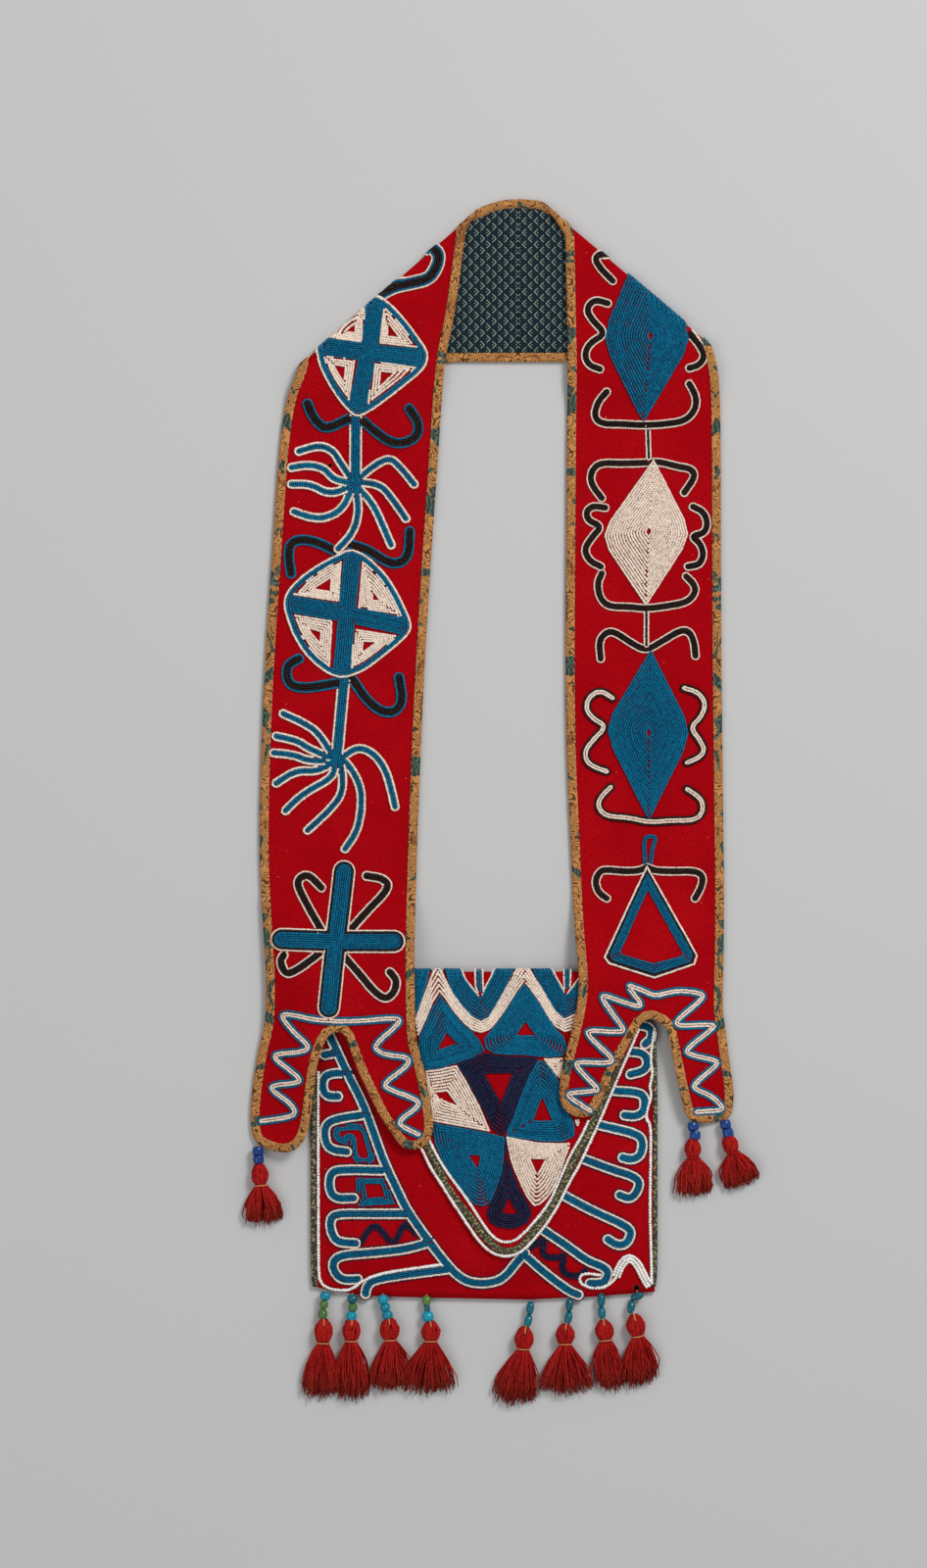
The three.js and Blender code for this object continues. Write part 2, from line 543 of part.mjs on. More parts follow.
const FLAP_FIELDS = {
  flap_top_left_blue: field([[455, 998], [527, 998], [491, 1036]], [[486, 1004], [499, 1004], [491, 1013]]),
  flap_top_right_blue: field([[541, 998], [588, 998], [577, 1034]], [[566, 1003], [578, 1003], [574, 1012]]),
  flap_left_triangle_blue: field([[449, 1020], [434, 1084], [494, 1069]],
    [[455, 1055], [446, 1070], [465, 1065]]),
  flap_right_triangle_blue: field([[534, 1018], [496, 1061], [536, 1075], [574, 1065]],
    [[536, 1042], [527, 1056], [545, 1056]]),
  flap_centre_triangle_navy: field([[467, 1083], [547, 1080], [509, 1154]],
    [[494, 1094], [521, 1094], [509, 1126]]),
  flap_left_field_white: field([[434, 1091], [464, 1087], [499, 1152], [440, 1143]],
    [[441, 1115], [457, 1114], [467, 1128]]),
  flap_right_field_blue: field([[550, 1082], [585, 1159], [518, 1153]],
    [[553, 1116], [545, 1142], [563, 1142]]),
  flap_small_triangle_white: field([[557, 1078], [576, 1077], [569, 1099]]),
  flap_lower_left_field_blue: field([[443, 1148], [513, 1157], [493, 1226], [458, 1184]],
    [[478, 1177], [492, 1178], [487, 1191]]),
  flap_lower_right_field_white: field([[518, 1157], [582, 1165], [547, 1226]],
    [[541, 1181], [555, 1181], [548, 1196]]),
  flap_teardrop_navy: field([[516, 1183], [496, 1236], [518, 1252], [542, 1236]],
    [[519, 1222], [511, 1238], [527, 1238]]),
};
const FLAP_BAND = stroke([[402, 1092], [436, 1165], [452, 1201], [468, 1225], [488, 1251], [506, 1269],
  [518, 1273], [532, 1268], [547, 1252], [571, 1217], [586, 1183], [605, 1143], [631, 1082]], 7);
const LEFT_COMB = [
  stroke([[340, 1064], [354, 1094], [376, 1140], [392, 1185], [405, 1212], [415, 1233], [434, 1260],
    [459, 1292], [472, 1304], [484, 1308], [500, 1308], [516, 1302], [527, 1290]], 5),
  stroke([[355, 1094], [340, 1094], [334, 1103], [338, 1115], [346, 1118]], 5),
  stroke([[375, 1137], [346, 1141], [337, 1149], [338, 1168], [354, 1174]], 5),
  stroke([[394, 1193], [350, 1192], [341, 1201], [344, 1219], [361, 1221]], 5),
  stroke([[417, 1237], [348, 1237], [340, 1247], [346, 1265], [363, 1267]], 5),
  stroke([[438, 1266], [415, 1273], [376, 1277], [350, 1279], [343, 1290], [351, 1302], [364, 1303]], 5),
  stroke([[457, 1293], [407, 1300], [384, 1305], [377, 1313]], 5),
  stroke([[376, 1142], [389, 1183], [361, 1183], [357, 1160]], 3),
  stroke([[394, 1190], [403, 1226], [368, 1228], [366, 1206]], 3),
  stroke([[362, 1268], [382, 1250], [401, 1266], [411, 1251], [428, 1262]], 3),
];
const RIGHT_COMB = [
  stroke([[651, 1066], [642, 1088], [620, 1141], [603, 1180], [586, 1222], [560, 1260], [543, 1284]], 4),
  stroke([[643, 1076], [655, 1077], [658, 1085], [645, 1093]], 4),
  stroke([[628, 1114], [650, 1115], [656, 1124], [652, 1136], [637, 1137]], 5),
  stroke([[615, 1149], [644, 1155], [652, 1165], [648, 1180], [635, 1180]], 5),
  stroke([[600, 1184], [623, 1192], [644, 1199], [650, 1208], [642, 1220], [632, 1218]], 5),
  stroke([[583, 1223], [602, 1233], [635, 1248], [642, 1257], [634, 1268], [620, 1263]], 5),
  stroke([[560, 1258], [581, 1271], [599, 1285], [613, 1290], [616, 1299], [602, 1307]], 5),
  stroke([[543, 1284], [556, 1298], [580, 1313]], 5),
];
const LEFT_EDGE_ROW = [stroke([[328, 1094], [327, 1193], [328, 1289], [332, 1308], [345, 1313],
  [360, 1312]], 2)];
const RIGHT_EDGE_ROW = [
  stroke([[661, 1100], [660, 1147], [660, 1231], [660, 1270], [661, 1306]], 2),
  stroke([[630, 1302], [635, 1290], [643, 1284], [650, 1291], [658, 1304]], 3),
];

// Joins a figure's strokes and fields, drawn with a carrier's points, between two heights.
function figure(place, low, strokes, fields = []) {
  const high = low + BEAD_HEIGHT;
  const solids = strokes.map(({ points, rows }) => band(points.map(place), rows * BEAD_ROW, low, high));
  for (const { outline, bare } of fields) {
    solids.push(prism(outline.map(place), low, high, bare.map((hole) => hole.map(place))));
  }
  return joined(solids);
}

// Keeps the part of a strap figure that lies on the front leg, inside the binding.
function onFrontLeg(solid, half) {
  const { start, end, shift } = half.fold;
  const leg = [start, end, shift(end, 2 * STRAP_DROP), shift(start, 2 * STRAP_DROP)];
  const away = (from, to, reach) => [to[0] + (to[0] - from[0]) * reach, to[1] + (to[1] - from[1]) * reach];
  leg[0] = away(end, start, 9);
  leg[1] = away(start, end, 9);
  return solid.intersect(prism(leg, 0, 2 * strapBeadTop)).intersect(half.field);
}

// Materials
const finish = (color, roughness) => new THREE.MeshStandardMaterial({ color, roughness, metalness: 0 });
const WOOL = finish(0xa00d16, 0.95);
const LINING_PRINT = finish(0x19323f, 0.9);
const BINDING_PRINT = finish(0xcd9150, 0.9);
const DARK_PRINT = finish(0x46463c, 0.9);
const OLIVE_PRINT = finish(0x5f5f46, 0.9);
const BLUE_BEADS = finish(0x116b91, 0.35);
const WHITE_BEADS = finish(0xe8d7cd, 0.35);
const BLACK_BEADS = finish(0x2d2623, 0.35);
const NAVY_BEADS = finish(0x2d284b, 0.35);
const TEAL_BEADS = finish(0x0f7d8c, 0.2);
const COBALT_BEADS = finish(0x1e3c96, 0.2);
const YARN = finish(0x8c231e, 0.95);

const parts = new THREE.Group();

function addPart(name, geometry, material) {
  const mesh = new THREE.Mesh(geometry, material);
  mesh.name = name;
  geometry.computeVertexNormals();
  parts.add(mesh);
}

const flatCarrier = { planes: [], place: (point) => point };

for (const [side, half] of [['left', left], ['right', right]]) {
  addPart(`strap_${side}_cloth`, draped(half.cloth, half.carrier), WOOL);
  addPart(`strap_${side}_lining`, draped(half.lining, half.carrier), LINING_PRINT);
  addPart(`strap_${side}_binding`, draped(half.binding, half.carrier), BINDING_PRINT);
}

addPart('pouch_back_panel', draped(prism(backOutline, 0, CLOTH), flatCarrier), WOOL);
addPart('pouch_front_panel', draped(prism(pouchOutline, 0, CLOTH), frontCarrier), WOOL);
addPart('flap_cloth', draped(prism(flapOutline, 0, CLOTH), flapFold), WOOL);

// The strip of calico that closes a side seam: a wall outside both panels and a lip on the front one.
function sideStrip(edge, outward, near, far) {
  const placed = edge.map(onPouch);
  const moved = (distance) => placed.map(([x, y]) => [x + outward * distance, y]);
  return [...moved(near), ...moved(far).reverse()];
}

const bindingReach = LAYER_GAP + BINDING;
const lipHeight = seamHeight + CLOTH + LAYER_GAP;

function sideBinding(edge, outward, lipWidth) {
  const wall = prism(sideStrip(edge, outward, LAYER_GAP, bindingReach), 0, lipHeight + BINDING);
  return wall.add(prism(sideStrip(edge, outward, -lipWidth, bindingReach), lipHeight, lipHeight + BINDING));
}

const lipCarrier = {
  planes: frontCarrier.planes,
  place: ([x, y, z]) => [x, y, z + (z > CLOTH ? frontCarrier.place([x, y, 0])[2] - seamHeight : 0)],
};
const leftSeam = [pouchTopLeft, ...[...POUCH_SIDES.left].reverse()];
const rightSeam = [pouchTopRight, ...POUCH_SIDES.right, POUCH_HEM[0]];
addPart('pouch_left_binding', draped(sideBinding(leftSeam, -1, POUCH_LEFT_BINDING), lipCarrier), DARK_PRINT);
addPart('pouch_right_binding', draped(sideBinding(rightSeam, 1, POUCH_RIGHT_BINDING), lipCarrier),
  DARK_PRINT);

const leftFigure = (strokes, fields) => onFrontLeg(figure(onLeft, strapTop, strokes, fields), left);
const rightFigure = (strokes, fields) => onFrontLeg(figure(onRight, strapTop, strokes, fields), right);
const leftBeads = {
  left_upper_wheel_beads: leftFigure([CURL, ...UPPER_WHEEL_STROKES, ...UPPER_HAND], [UPPER_WHEEL]),
  left_lower_wheel_beads: leftFigure([...LOWER_WHEEL_STROKES, ...LOWER_HAND], [LOWER_WHEEL]),
  left_star_beads: leftFigure(STAR),
  left_zigzag_beads: leftFigure(LEFT_ZIGZAG),
};
for (const [name, solid] of Object.entries(leftBeads)) addPart(name, draped(solid, left.carrier), BLUE_BEADS);

const rightBeads = {
  right_top_hook_beads: [rightFigure(TOP_HOOK), BLACK_BEADS],
  right_upper_diamond_beads: [rightFigure(UPPER_DIAMOND_STROKES, [UPPER_DIAMOND]), BLUE_BEADS],
  right_middle_diamond_beads: [rightFigure(MIDDLE_DIAMOND_STROKES, [MIDDLE_DIAMOND]), WHITE_BEADS],
  right_lower_diamond_beads: [rightFigure(LOWER_DIAMOND_STROKES, [LOWER_DIAMOND]), BLUE_BEADS],
  right_triangle_beads: [rightFigure(TRIANGLE_STROKES, [TRIANGLE]), BLUE_BEADS],
  right_zigzag_beads: [rightFigure(RIGHT_ZIGZAG), BLUE_BEADS],
};
for (const [name, [solid, material]] of Object.entries(rightBeads)) {
  addPart(name, draped(solid, right.carrier), material);
}

const beadMaterial = (name) => {
  if (name.includes('white')) return WHITE_BEADS;
  return name.includes('navy') ? NAVY_BEADS : BLUE_BEADS;
};
const flapZigzag = figure(onPouch, flapBeadHeight, FLAP_ZIGZAG);
const flapBand = figure(onPouch, flapBeadHeight, [FLAP_BAND]);
addPart('flap_zigzag_white', draped(flapZigzag, flatCarrier), WHITE_BEADS);
addPart('flap_edge_band', draped(flapBand, flatCarrier), OLIVE_PRINT);
const roomForBand = figure(onPouch, flapBeadHeight, [{ ...FLAP_BAND, rows: FLAP_BAND.rows + 0.5 }]);
const roomForZigzag = figure(onPouch, flapBeadHeight, [{ ...FLAP_ZIGZAG[0],
  rows: FLAP_ZIGZAG[0].rows + 0.5 }]);
for (const [name, shape] of Object.entries(FLAP_FIELDS)) {
  const whole = figure(onPouch, flapBeadHeight, [], [shape]);
  addPart(name, draped(whole.subtract(roomForBand).subtract(roomForZigzag), flatCarrier), beadMaterial(name));
}

// The pouch's beadwork stops short of the flap and of the side bindings, and the combs of the edge rows.
const aboveCloth = [CLOTH, 2 * pouchTop];
const roomForFlap = prism(grown(flapEdge, LAYER_GAP + BEAD_ROW / 4), ...aboveCloth);
const lipRooms = [
  prism(sideStrip(leftSeam, -1, -POUCH_LEFT_BINDING - LAYER_GAP, bindingReach), ...aboveCloth),
  prism(sideStrip(rightSeam, 1, -POUCH_RIGHT_BINDING - LAYER_GAP, bindingReach), ...aboveCloth),
];
const widened = (strokes) => strokes.map(({ points, rows }) => stroke(points, rows + 0.5));
const roomForRows = figure(onPouch, frontBeads, widened([...LEFT_EDGE_ROW, ...RIGHT_EDGE_ROW]));
const cutBack = (solid, rooms) => rooms.reduce((rest, room) => rest.subtract(room), solid);
const pouchBeads = {
  pouch_left_comb_beads: [LEFT_COMB, [roomForFlap, ...lipRooms, roomForRows], BLUE_BEADS],
  pouch_right_comb_beads: [RIGHT_COMB, [roomForFlap, ...lipRooms, roomForRows], BLUE_BEADS],
  pouch_left_edge_row: [LEFT_EDGE_ROW, lipRooms, WHITE_BEADS],
  pouch_right_edge_row: [RIGHT_EDGE_ROW, lipRooms, WHITE_BEADS],
};
for (const [name, [strokes, rooms, material]] of Object.entries(pouchBeads)) {
  addPart(name, draped(cutBack(figure(onPouch, frontBeads, strokes), rooms), frontCarrier), material);
}

// Tassels. Each hangs on a short string of beads: where it starts, its beads, and the tassel's places.

// The point of the pouch's hem at one u.
function hemAt(u) {
  const next = POUCH_HEM.findIndex((corner) => corner[0] <= u);
  const [u0, v0] = POUCH_HEM[next - 1];
  const [u1, v1] = POUCH_HEM[next];
  return [u, v0 + ((v1 - v0) * (u - u0)) / (u1 - u0)];
}

const TASSELS = [
  { name: 'pouch_1', place: onPouch, top: hemAt(331), neck: [331, 1369], hem: [323, 1423, 31],
    beads: [10, 9, 9] },
  { name: 'pouch_2', place: onPouch, top: hemAt(359), neck: [359, 1366], hem: [358, 1424, 33],
    beads: [8, 8, 9] },
  { name: 'pouch_3', place: onPouch, top: hemAt(391), neck: [399, 1365], hem: [394, 1416, 34],
    beads: [8, 8, 9] },
  { name: 'pouch_4', place: onPouch, top: hemAt(435), neck: [440, 1366], hem: [438, 1420, 48],
    beads: [9, 6, 12] },
  { name: 'pouch_5', place: onPouch, top: hemAt(541), neck: [534, 1375], hem: [524, 1428, 42],
    beads: [8, 8] },
  { name: 'pouch_6', place: onPouch, top: hemAt(581), neck: [577, 1369], hem: [577, 1420, 52],
    beads: [8, 8] },
  { name: 'pouch_7', place: onPouch, top: hemAt(613), neck: [617, 1366], hem: [621, 1415, 27],
    beads: [8, 8] },
  { name: 'pouch_8', place: onPouch, top: hemAt(647), neck: [651, 1362], hem: [654, 1411, 35],
    beads: [9, 8] },
  { name: 'left_tab', place: onLeft, top: [265, 1169], neck: [266, 1209], hem: [270, 1248, 36],
    beads: [10, 10] },
  { name: 'right_tab_1', place: onRight, top: [708, 1144], neck: [707, 1180], hem: [708, 1220, 33],
    beads: [10, 10] },
  { name: 'right_tab_2', place: onRight, top: [739, 1142], neck: [747, 1176], hem: [757, 1209, 30],
    beads: [10, 10] },
];
const ROUND_SIDES = 8;

// Turns a profile of [radius, distance along] points round the line from start to end, at one height.
function turned(profile, start, end, height) {
  const lathe = new THREE.LatheGeometry(profile.map(([r, along]) => new THREE.Vector2(r, along)),
    ROUND_SIDES);
  const angle = Math.atan2(end[1] - start[1], end[0] - start[0]) - Math.PI / 2;
  lathe.deleteAttribute('normal');
  lathe.deleteAttribute('uv');
  const closed = mergeVertices(lathe, 1e-4);
  closed.rotateZ(angle);
  closed.translate(start[0], start[1], height);
  return closed;
}

function beadString(start, end, beads, place) {
  const length = Math.hypot(end[0] - start[0], end[1] - start[1]);
  const thread = THREAD_WIDTH / 2;
  const pitch = (length - 1.5 * thread) / beads.length;
  const unit = place === onPouch ? unitX : strapUnitX;
  const profile = [[0, 0]];
  beads.forEach((width, index) => {
    const first = thread / 2 + index * pitch;
    const radius = (width * unit) / 2;
    profile.push([thread, first], [radius, first + pitch * 0.3], [radius, first + pitch * 0.7]);
  });
  profile.push([thread, length - thread], [0, length]);
  return turned(profile, start, end, (Math.max(...beads) * unit) / 2 + LAYER_GAP);
}

// A tassel lies on the table: a round head, a tied neck and a skirt that spreads out flat.
function tassel(top, neck, hem, hemWidth, headWidth) {
  const along = [0, 0.25, 0.6, 1];
  const headHalf = headWidth / 2;
  const halves = [headHalf * 0.45, headHalf * 0.95, headHalf, headHalf * 0.62];
  const mix = (a, b, share) => a + (b - a) * share;
  const rings = along.map((share, index) => ({
    x: mix(top[0], neck[0], share), y: mix(top[1], neck[1], share), half: halves[index],
    depth: halves[index] * 0.9,
  }));
  for (const share of [0.3, 0.7, 1]) {
    rings.push({
      x: mix(neck[0], hem[0], share),
      y: mix(neck[1], hem[1], share),
      half: mix(headHalf * 0.75, hemWidth / 2, share),
      depth: mix(TASSEL_DEPTH * 0.45, TASSEL_DEPTH * 0.3, share),
    });
  }
  const sides = 10;
  const places = [];
  for (const { x, y, half, depth } of rings) {
    for (let side = 0; side < sides; side += 1) {
      const angle = (side / sides) * 2 * Math.PI;
      places.push(x + half * Math.cos(angle), y, depth + LAYER_GAP + depth * Math.sin(angle));
    }
  }
  const order = [];
  for (let ring = 0; ring + 1 < rings.length; ring += 1) {
    for (let side = 0; side < sides; side += 1) {
      const a = ring * sides + side;
      const b = ring * sides + ((side + 1) % sides);
      order.push(a, b, b + sides, a, b + sides, a + sides);
    }
  }
  const last = (rings.length - 1) * sides;
  for (let side = 1; side + 1 < sides; side += 1) {
    order.push(0, side + 1, side);
    order.push(last, last + side, last + side + 1);
  }
  const geometry = new THREE.BufferGeometry();
  geometry.setAttribute('position', new THREE.Float32BufferAttribute(places, 3));
  geometry.setIndex(order);
  return geometry;
}

for (const { name, place, top, neck, hem, beads } of TASSELS) {
  const onStrap = place !== onPouch;
  const [topX, topY] = place(top);
  const start = [topX, topY - STRING_GAP - (onStrap ? EDGE_GAP + BINDING : 0)];
  const neckPoint = place(neck);
  const hemPoint = place(hem);
  const headTop = [neckPoint[0], neckPoint[1] + HEAD_LENGTH];
  const end = [headTop[0], headTop[1] + STRING_GAP];
  const unit = onStrap ? strapUnitX : unitX;
  const headWidth = onStrap ? STRAP_TASSEL_HEAD : HEAD_WIDTH;
  const beadsFinish = onStrap ? COBALT_BEADS : TEAL_BEADS;
  addPart(`${name}_bead_string`, beadString(start, end, beads, place), beadsFinish);
  addPart(`${name}_tassel`, tassel(headTop, neckPoint, hemPoint, hem[2] * unit, headWidth), YARN);
}

// The origin is at the middle of the underside.
const box = new THREE.Box3().setFromObject(parts);
parts.position.set(-(box.min.x + box.max.x) / 2, -(box.min.y + box.max.y) / 2, -box.min.z);
const bag = new THREE.Group();
bag.add(parts);
bag.updateMatrixWorld(true);

export default bag;
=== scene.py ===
# %% [markdown]
# # A beaded shoulder bag, laid out flat
#
# The bag is red wool cloth. A wide strap folds over at both shoulders, comes down in front in two halves and
# ends in forked tabs on a pouch with a V-shaped flap. Seed beads are sewn down in rows, printed calico binds
# the edges, and wool tassels hang below. This lesson builds it as cloth is built: flat patterns that are
# carried to their place by a few plain formulas.
#
# Lengths are in millimetres until a mesh is made, and then in metres. A pattern is drawn in pattern units,
# which count from the upper left corner of the drawing, as a pattern on paper would.

# %% Setting up
import json

import bmesh
import bpy
import numpy as np
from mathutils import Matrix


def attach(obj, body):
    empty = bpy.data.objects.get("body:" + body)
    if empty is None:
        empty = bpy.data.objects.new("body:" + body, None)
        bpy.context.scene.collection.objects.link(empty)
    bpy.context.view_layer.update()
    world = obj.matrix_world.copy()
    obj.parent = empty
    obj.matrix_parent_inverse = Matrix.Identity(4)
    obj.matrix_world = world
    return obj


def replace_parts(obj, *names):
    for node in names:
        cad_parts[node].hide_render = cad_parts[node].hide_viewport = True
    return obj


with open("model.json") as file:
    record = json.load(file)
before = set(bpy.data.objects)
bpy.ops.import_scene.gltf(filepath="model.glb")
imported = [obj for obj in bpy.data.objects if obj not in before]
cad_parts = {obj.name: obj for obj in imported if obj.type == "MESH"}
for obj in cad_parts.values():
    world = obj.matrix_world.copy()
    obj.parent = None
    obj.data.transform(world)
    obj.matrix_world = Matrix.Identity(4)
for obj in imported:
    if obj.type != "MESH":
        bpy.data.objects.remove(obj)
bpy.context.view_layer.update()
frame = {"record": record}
rng = np.random.default_rng(11)
MM = 0.001

# %% [markdown]
# ## From the pattern to the table
#
# The pouch sets the scale: it is 203 mm wide. Each half of the strap hangs from its own fork point, because
# the strap was cut apart from the pouch. The sizes below are those of the solid parts.

# %% The pattern's scale
POUCH_LEFT, POUCH_RIGHT, POUCH_TOP, POUCH_HEM = 317, 671, 1045, 1325
POUCH_MIDDLE, POUCH_WIDTH, POUCH_HEIGHT = 495, 203, 161
UNIT_X = POUCH_WIDTH / (POUCH_RIGHT - POUCH_LEFT)
UNIT_Y = POUCH_HEIGHT / (POUCH_HEM - POUCH_TOP)
# Millimetres over pattern units, across the strap and down it.
STRAP_UNIT = np.array([93 / 162, -391 / 682])
# Where the middle of the pouch's top lies on the table.
SHIFT = np.array([-9.755, -131.834])
LEFT_FORK, RIGHT_FORK = (343, 1051), (662, 1038)


def on_pouch(points):
    """Pattern units to millimetres on the pouch and flap: a shift, a scale, and Y turned upwards."""
    offset = np.asarray(points, float) - (POUCH_MIDDLE, POUCH_TOP)
    return offset * (UNIT_X, -UNIT_Y) + SHIFT


def on_strap(points, fork):
    """Pattern units to millimetres on a strap half, which keeps its fork where the pouch's scale puts it."""
    return on_pouch(fork) + (np.asarray(points, float) - fork) * STRAP_UNIT


def on_left(points):
    """Pattern units to millimetres on the left half."""
    return on_strap(points, LEFT_FORK)


def on_right(points):
    """Pattern units to millimetres on the right half."""
    return on_strap(points, RIGHT_FORK)


print("one pattern unit is", round(UNIT_X, 4), "by", round(UNIT_Y, 4), "mm")

# %% [markdown]
# ## Layers of cloth
#
# Lining, wool and binding lie on each other, and the strap's end lies on the flap, which lies on the pouch.
# Each place function takes a point of the flat cloth and a height above the cloth's underside, and gives a
# point in space. The strap's place function rolls the cloth over at the shoulder: past the fold line the
# distance along the cloth becomes an angle round the fold's axis.

# %% Layer heights
CLOTH, LINING = 1.2, 0.6
WOOL_BASE = 0.85
WOOL_TOP = WOOL_BASE + CLOTH
FOLD_INNER, FOLD_AXIS = 0.175, 2.975
FOLD_MIDDLE = WOOL_BASE + CLOTH / 2 + FOLD_INNER
FOLD_BEND = np.pi * FOLD_MIDDLE
STRAP_LIFT, FOLD_DROP = FOLD_AXIS + FOLD_INNER, 24
PERCH, STRAP_RISE, STRAP_FALL, FALL_START = 10.25, 46, 44, 6
RISE_TOP = 984
RIPPLE, LEAST_RIPPLE, POUCH_RIPPLE = 0.22, 0.3, 0.4
SEAM_HEIGHT, SEAM_WIDTH, FRONT_BASE, SIDE_SLOPE = 1.45, 2, 5.8, 25
FLAP_BASE, FLAP_FOLD = 7.25, 990
FLAP_AXIS = (FLAP_BASE + CLOTH + SEAM_HEIGHT) / 2
FLAP_RADIUS = FLAP_BASE + CLOTH - FLAP_AXIS
FLAP_MIDDLE = FLAP_RADIUS - CLOTH / 2
FLAP_BEND = np.pi * FLAP_MIDDLE
FLAP_BACK_HEM = 20
HEM = np.array([(317, 1310), (325, 1313), (371, 1321), (434, 1323), (537, 1325), (604, 1322), (667, 1317)])


def smooth(share):
    """A soft step: 0 below 0, 1 above 1, and 3t^2 - 2t^3 between."""
    t = np.clip(share, 0, 1)
    return t * t * (3 - 2 * t)


def ripple(flat):
    """The slight unevenness of old cloth: a few crossed sine waves, in millimetres."""
    x, y = flat[..., 0], flat[..., 1]
    return RIPPLE * (np.sin(x / 9.1 + np.sin(y / 31)) * np.sin(y / 13.7) + 0.6 * np.sin((x + y) / 21))


def strap_place(on, fold_start, fold_end, outward, edge, drop_row):
    """The place function of one strap half. Before the fold the cloth is flat, then it follows half a circle
    of the layer's own radius, and past that it lies below, mirrored in the fold line."""
    start, end = on(fold_start), on(fold_end)
    along = (end - start) / np.linalg.norm(end - start)
    inward = np.array([along[1], -along[0]])
    inward = inward if inward[1] < 0 else -inward
    drop_top = on((0, drop_row))[1]
    rise_foot = on_pouch((0, RISE_TOP))[1] + STRAP_RISE
    fall_foot = on_pouch((edge, 0))[0] + outward * (STRAP_FALL - FALL_START)

    def depth_of(flat):
        """How far in from the fold line a point lies, below 0 past it."""
        return (flat - start) @ inward

    def place(flat, height):
        """The flat point in space: rolled round the fold, dropped to the table, lifted onto the pouch."""
        flat = np.asarray(flat, float)
        depth = depth_of(flat)
        foot = flat - depth[..., None] * inward
        radius = height + FOLD_INNER
        angle = np.clip(-depth / FOLD_MIDDLE, 0, np.pi)
        straight = np.where(depth > 0, depth, np.maximum(-depth - FOLD_BEND, 0))
        spot = foot + (straight - radius * np.sin(angle))[..., None] * inward
        drop = STRAP_LIFT * smooth((drop_top - flat[..., 1]) / FOLD_DROP)
        rise = smooth((rise_foot - flat[..., 1]) / STRAP_RISE)
        fall = smooth(outward * (fall_foot - flat[..., 0]) / STRAP_FALL)
        uneven = ripple(flat) * smooth(depth / FOLD_DROP) * np.maximum(rise, LEAST_RIPPLE)
        climb = PERCH * np.minimum(rise, fall) + uneven
        lying = np.where(depth > 0, np.maximum(climb, 0) - drop, 0)
        return np.concatenate([spot, (FOLD_AXIS + radius * np.cos(angle) + lying)[..., None]], -1)

    def unfold(spot):
        """A point of the back leg as it lies, back to the flat cloth: the fold formula solved for depth."""
        depth = depth_of(spot)
        return spot - (2 * depth + FOLD_BEND)[..., None] * inward

    return place, unfold


def pouch_place(flat, height):
    """The pouch's front: it rises from the seams over a soft slope to the filled height."""
    flat = np.asarray(flat, float)
    x, y = flat[..., 0], flat[..., 1]
    hem_line = on_pouch(HEM)
    sides = np.minimum(x - on_pouch((POUCH_LEFT, 0))[0], on_pouch((POUCH_RIGHT, 0))[0] - x)
    distance = np.minimum(sides, y - np.interp(x, hem_line[:, 0], hem_line[:, 1]))
    slope = smooth((distance - SEAM_WIDTH) / (SIDE_SLOPE - SEAM_WIDTH))
    z = SEAM_HEIGHT + (FRONT_BASE - SEAM_HEIGHT + POUCH_RIPPLE * ripple(flat)) * slope + height
    return np.concatenate([flat, z[..., None]], -1)


def flap_place(flat, height):
    """The flap: flat in front, rolled over the pouch's top edge by half a circle, and flat behind."""
    flat = np.asarray(flat, float)
    axis_y = on_pouch((0, FLAP_FOLD))[1] - FLAP_RADIUS
    depth = axis_y - flat[..., 1]
    radius = height + FLAP_BASE - FLAP_AXIS
    angle = np.clip(-depth / FLAP_MIDDLE, 0, np.pi)
    straight = np.where(depth > 0, depth, np.maximum(-depth - FLAP_BEND, 0))
    y = axis_y - straight + radius * np.sin(angle)
    return np.stack([flat[..., 0], y, FLAP_AXIS + radius * np.cos(angle)], -1)


LEFT_FOLD, RIGHT_FOLD = ((308, 376), (481, 225)), ((575, 230), (719, 352))
LEFT_DROP, RIGHT_DROP = 385, 378
left_place, left_unfold = strap_place(on_left, *LEFT_FOLD, -1, POUCH_LEFT, LEFT_DROP)
right_place, right_unfold = strap_place(on_right, *RIGHT_FOLD, 1, POUCH_RIGHT, RIGHT_DROP)
print("a shoulder fold takes up", round(FOLD_BEND, 2), "mm of cloth, the flap's", round(FLAP_BEND, 2), "mm")

# %% [markdown]
# ## Curves, grids and shells
#
# A drawn line is rounded by cutting its corners again and again, and walked in even steps. A cloth is a
# grid ruled between two edges. The grids of one cloth are welded where they share points, lifted twice,
# for the upper and the lower face, and closed along the rim.

# %% Curves


def rounded(points, times=2, closed=False):
    """Corner cutting: each corner gives way to points a quarter and three quarters along its legs."""
    line = np.asarray(points, float)
    for _ in range(times):
        ahead = np.roll(line, -1, 0) if closed else line[1:]
        here = line if closed else line[:-1]
        cut = np.stack([0.75 * here + 0.25 * ahead, 0.25 * here + 0.75 * ahead], 1).reshape(-1, 2)
        line = cut if closed else np.concatenate([line[:1], cut, line[-1:]])
    return line


def travelled(line):
    """How far along a line each of its points lies."""
    return np.concatenate([[0], np.cumsum(np.linalg.norm(np.diff(line, axis=0), axis=1))])


def stepped(points, step, closed=False):
    """The same line walked in even steps of about that length."""
    line = np.asarray(points, float)
    line = np.concatenate([line, line[:1]]) if closed else line
    travel = travelled(line)
    count = max(int(round(travel[-1] / step)), 1)
    goals = np.linspace(0, travel[-1], count + 1)[: count if closed else count + 1]
    return np.stack([np.interp(goals, travel, line[:, axis]) for axis in range(line.shape[1])], 1)


def unit(vectors):
    """Vectors divided by their own length."""
    return vectors / np.maximum(np.linalg.norm(vectors, axis=-1, keepdims=True), 1e-9)


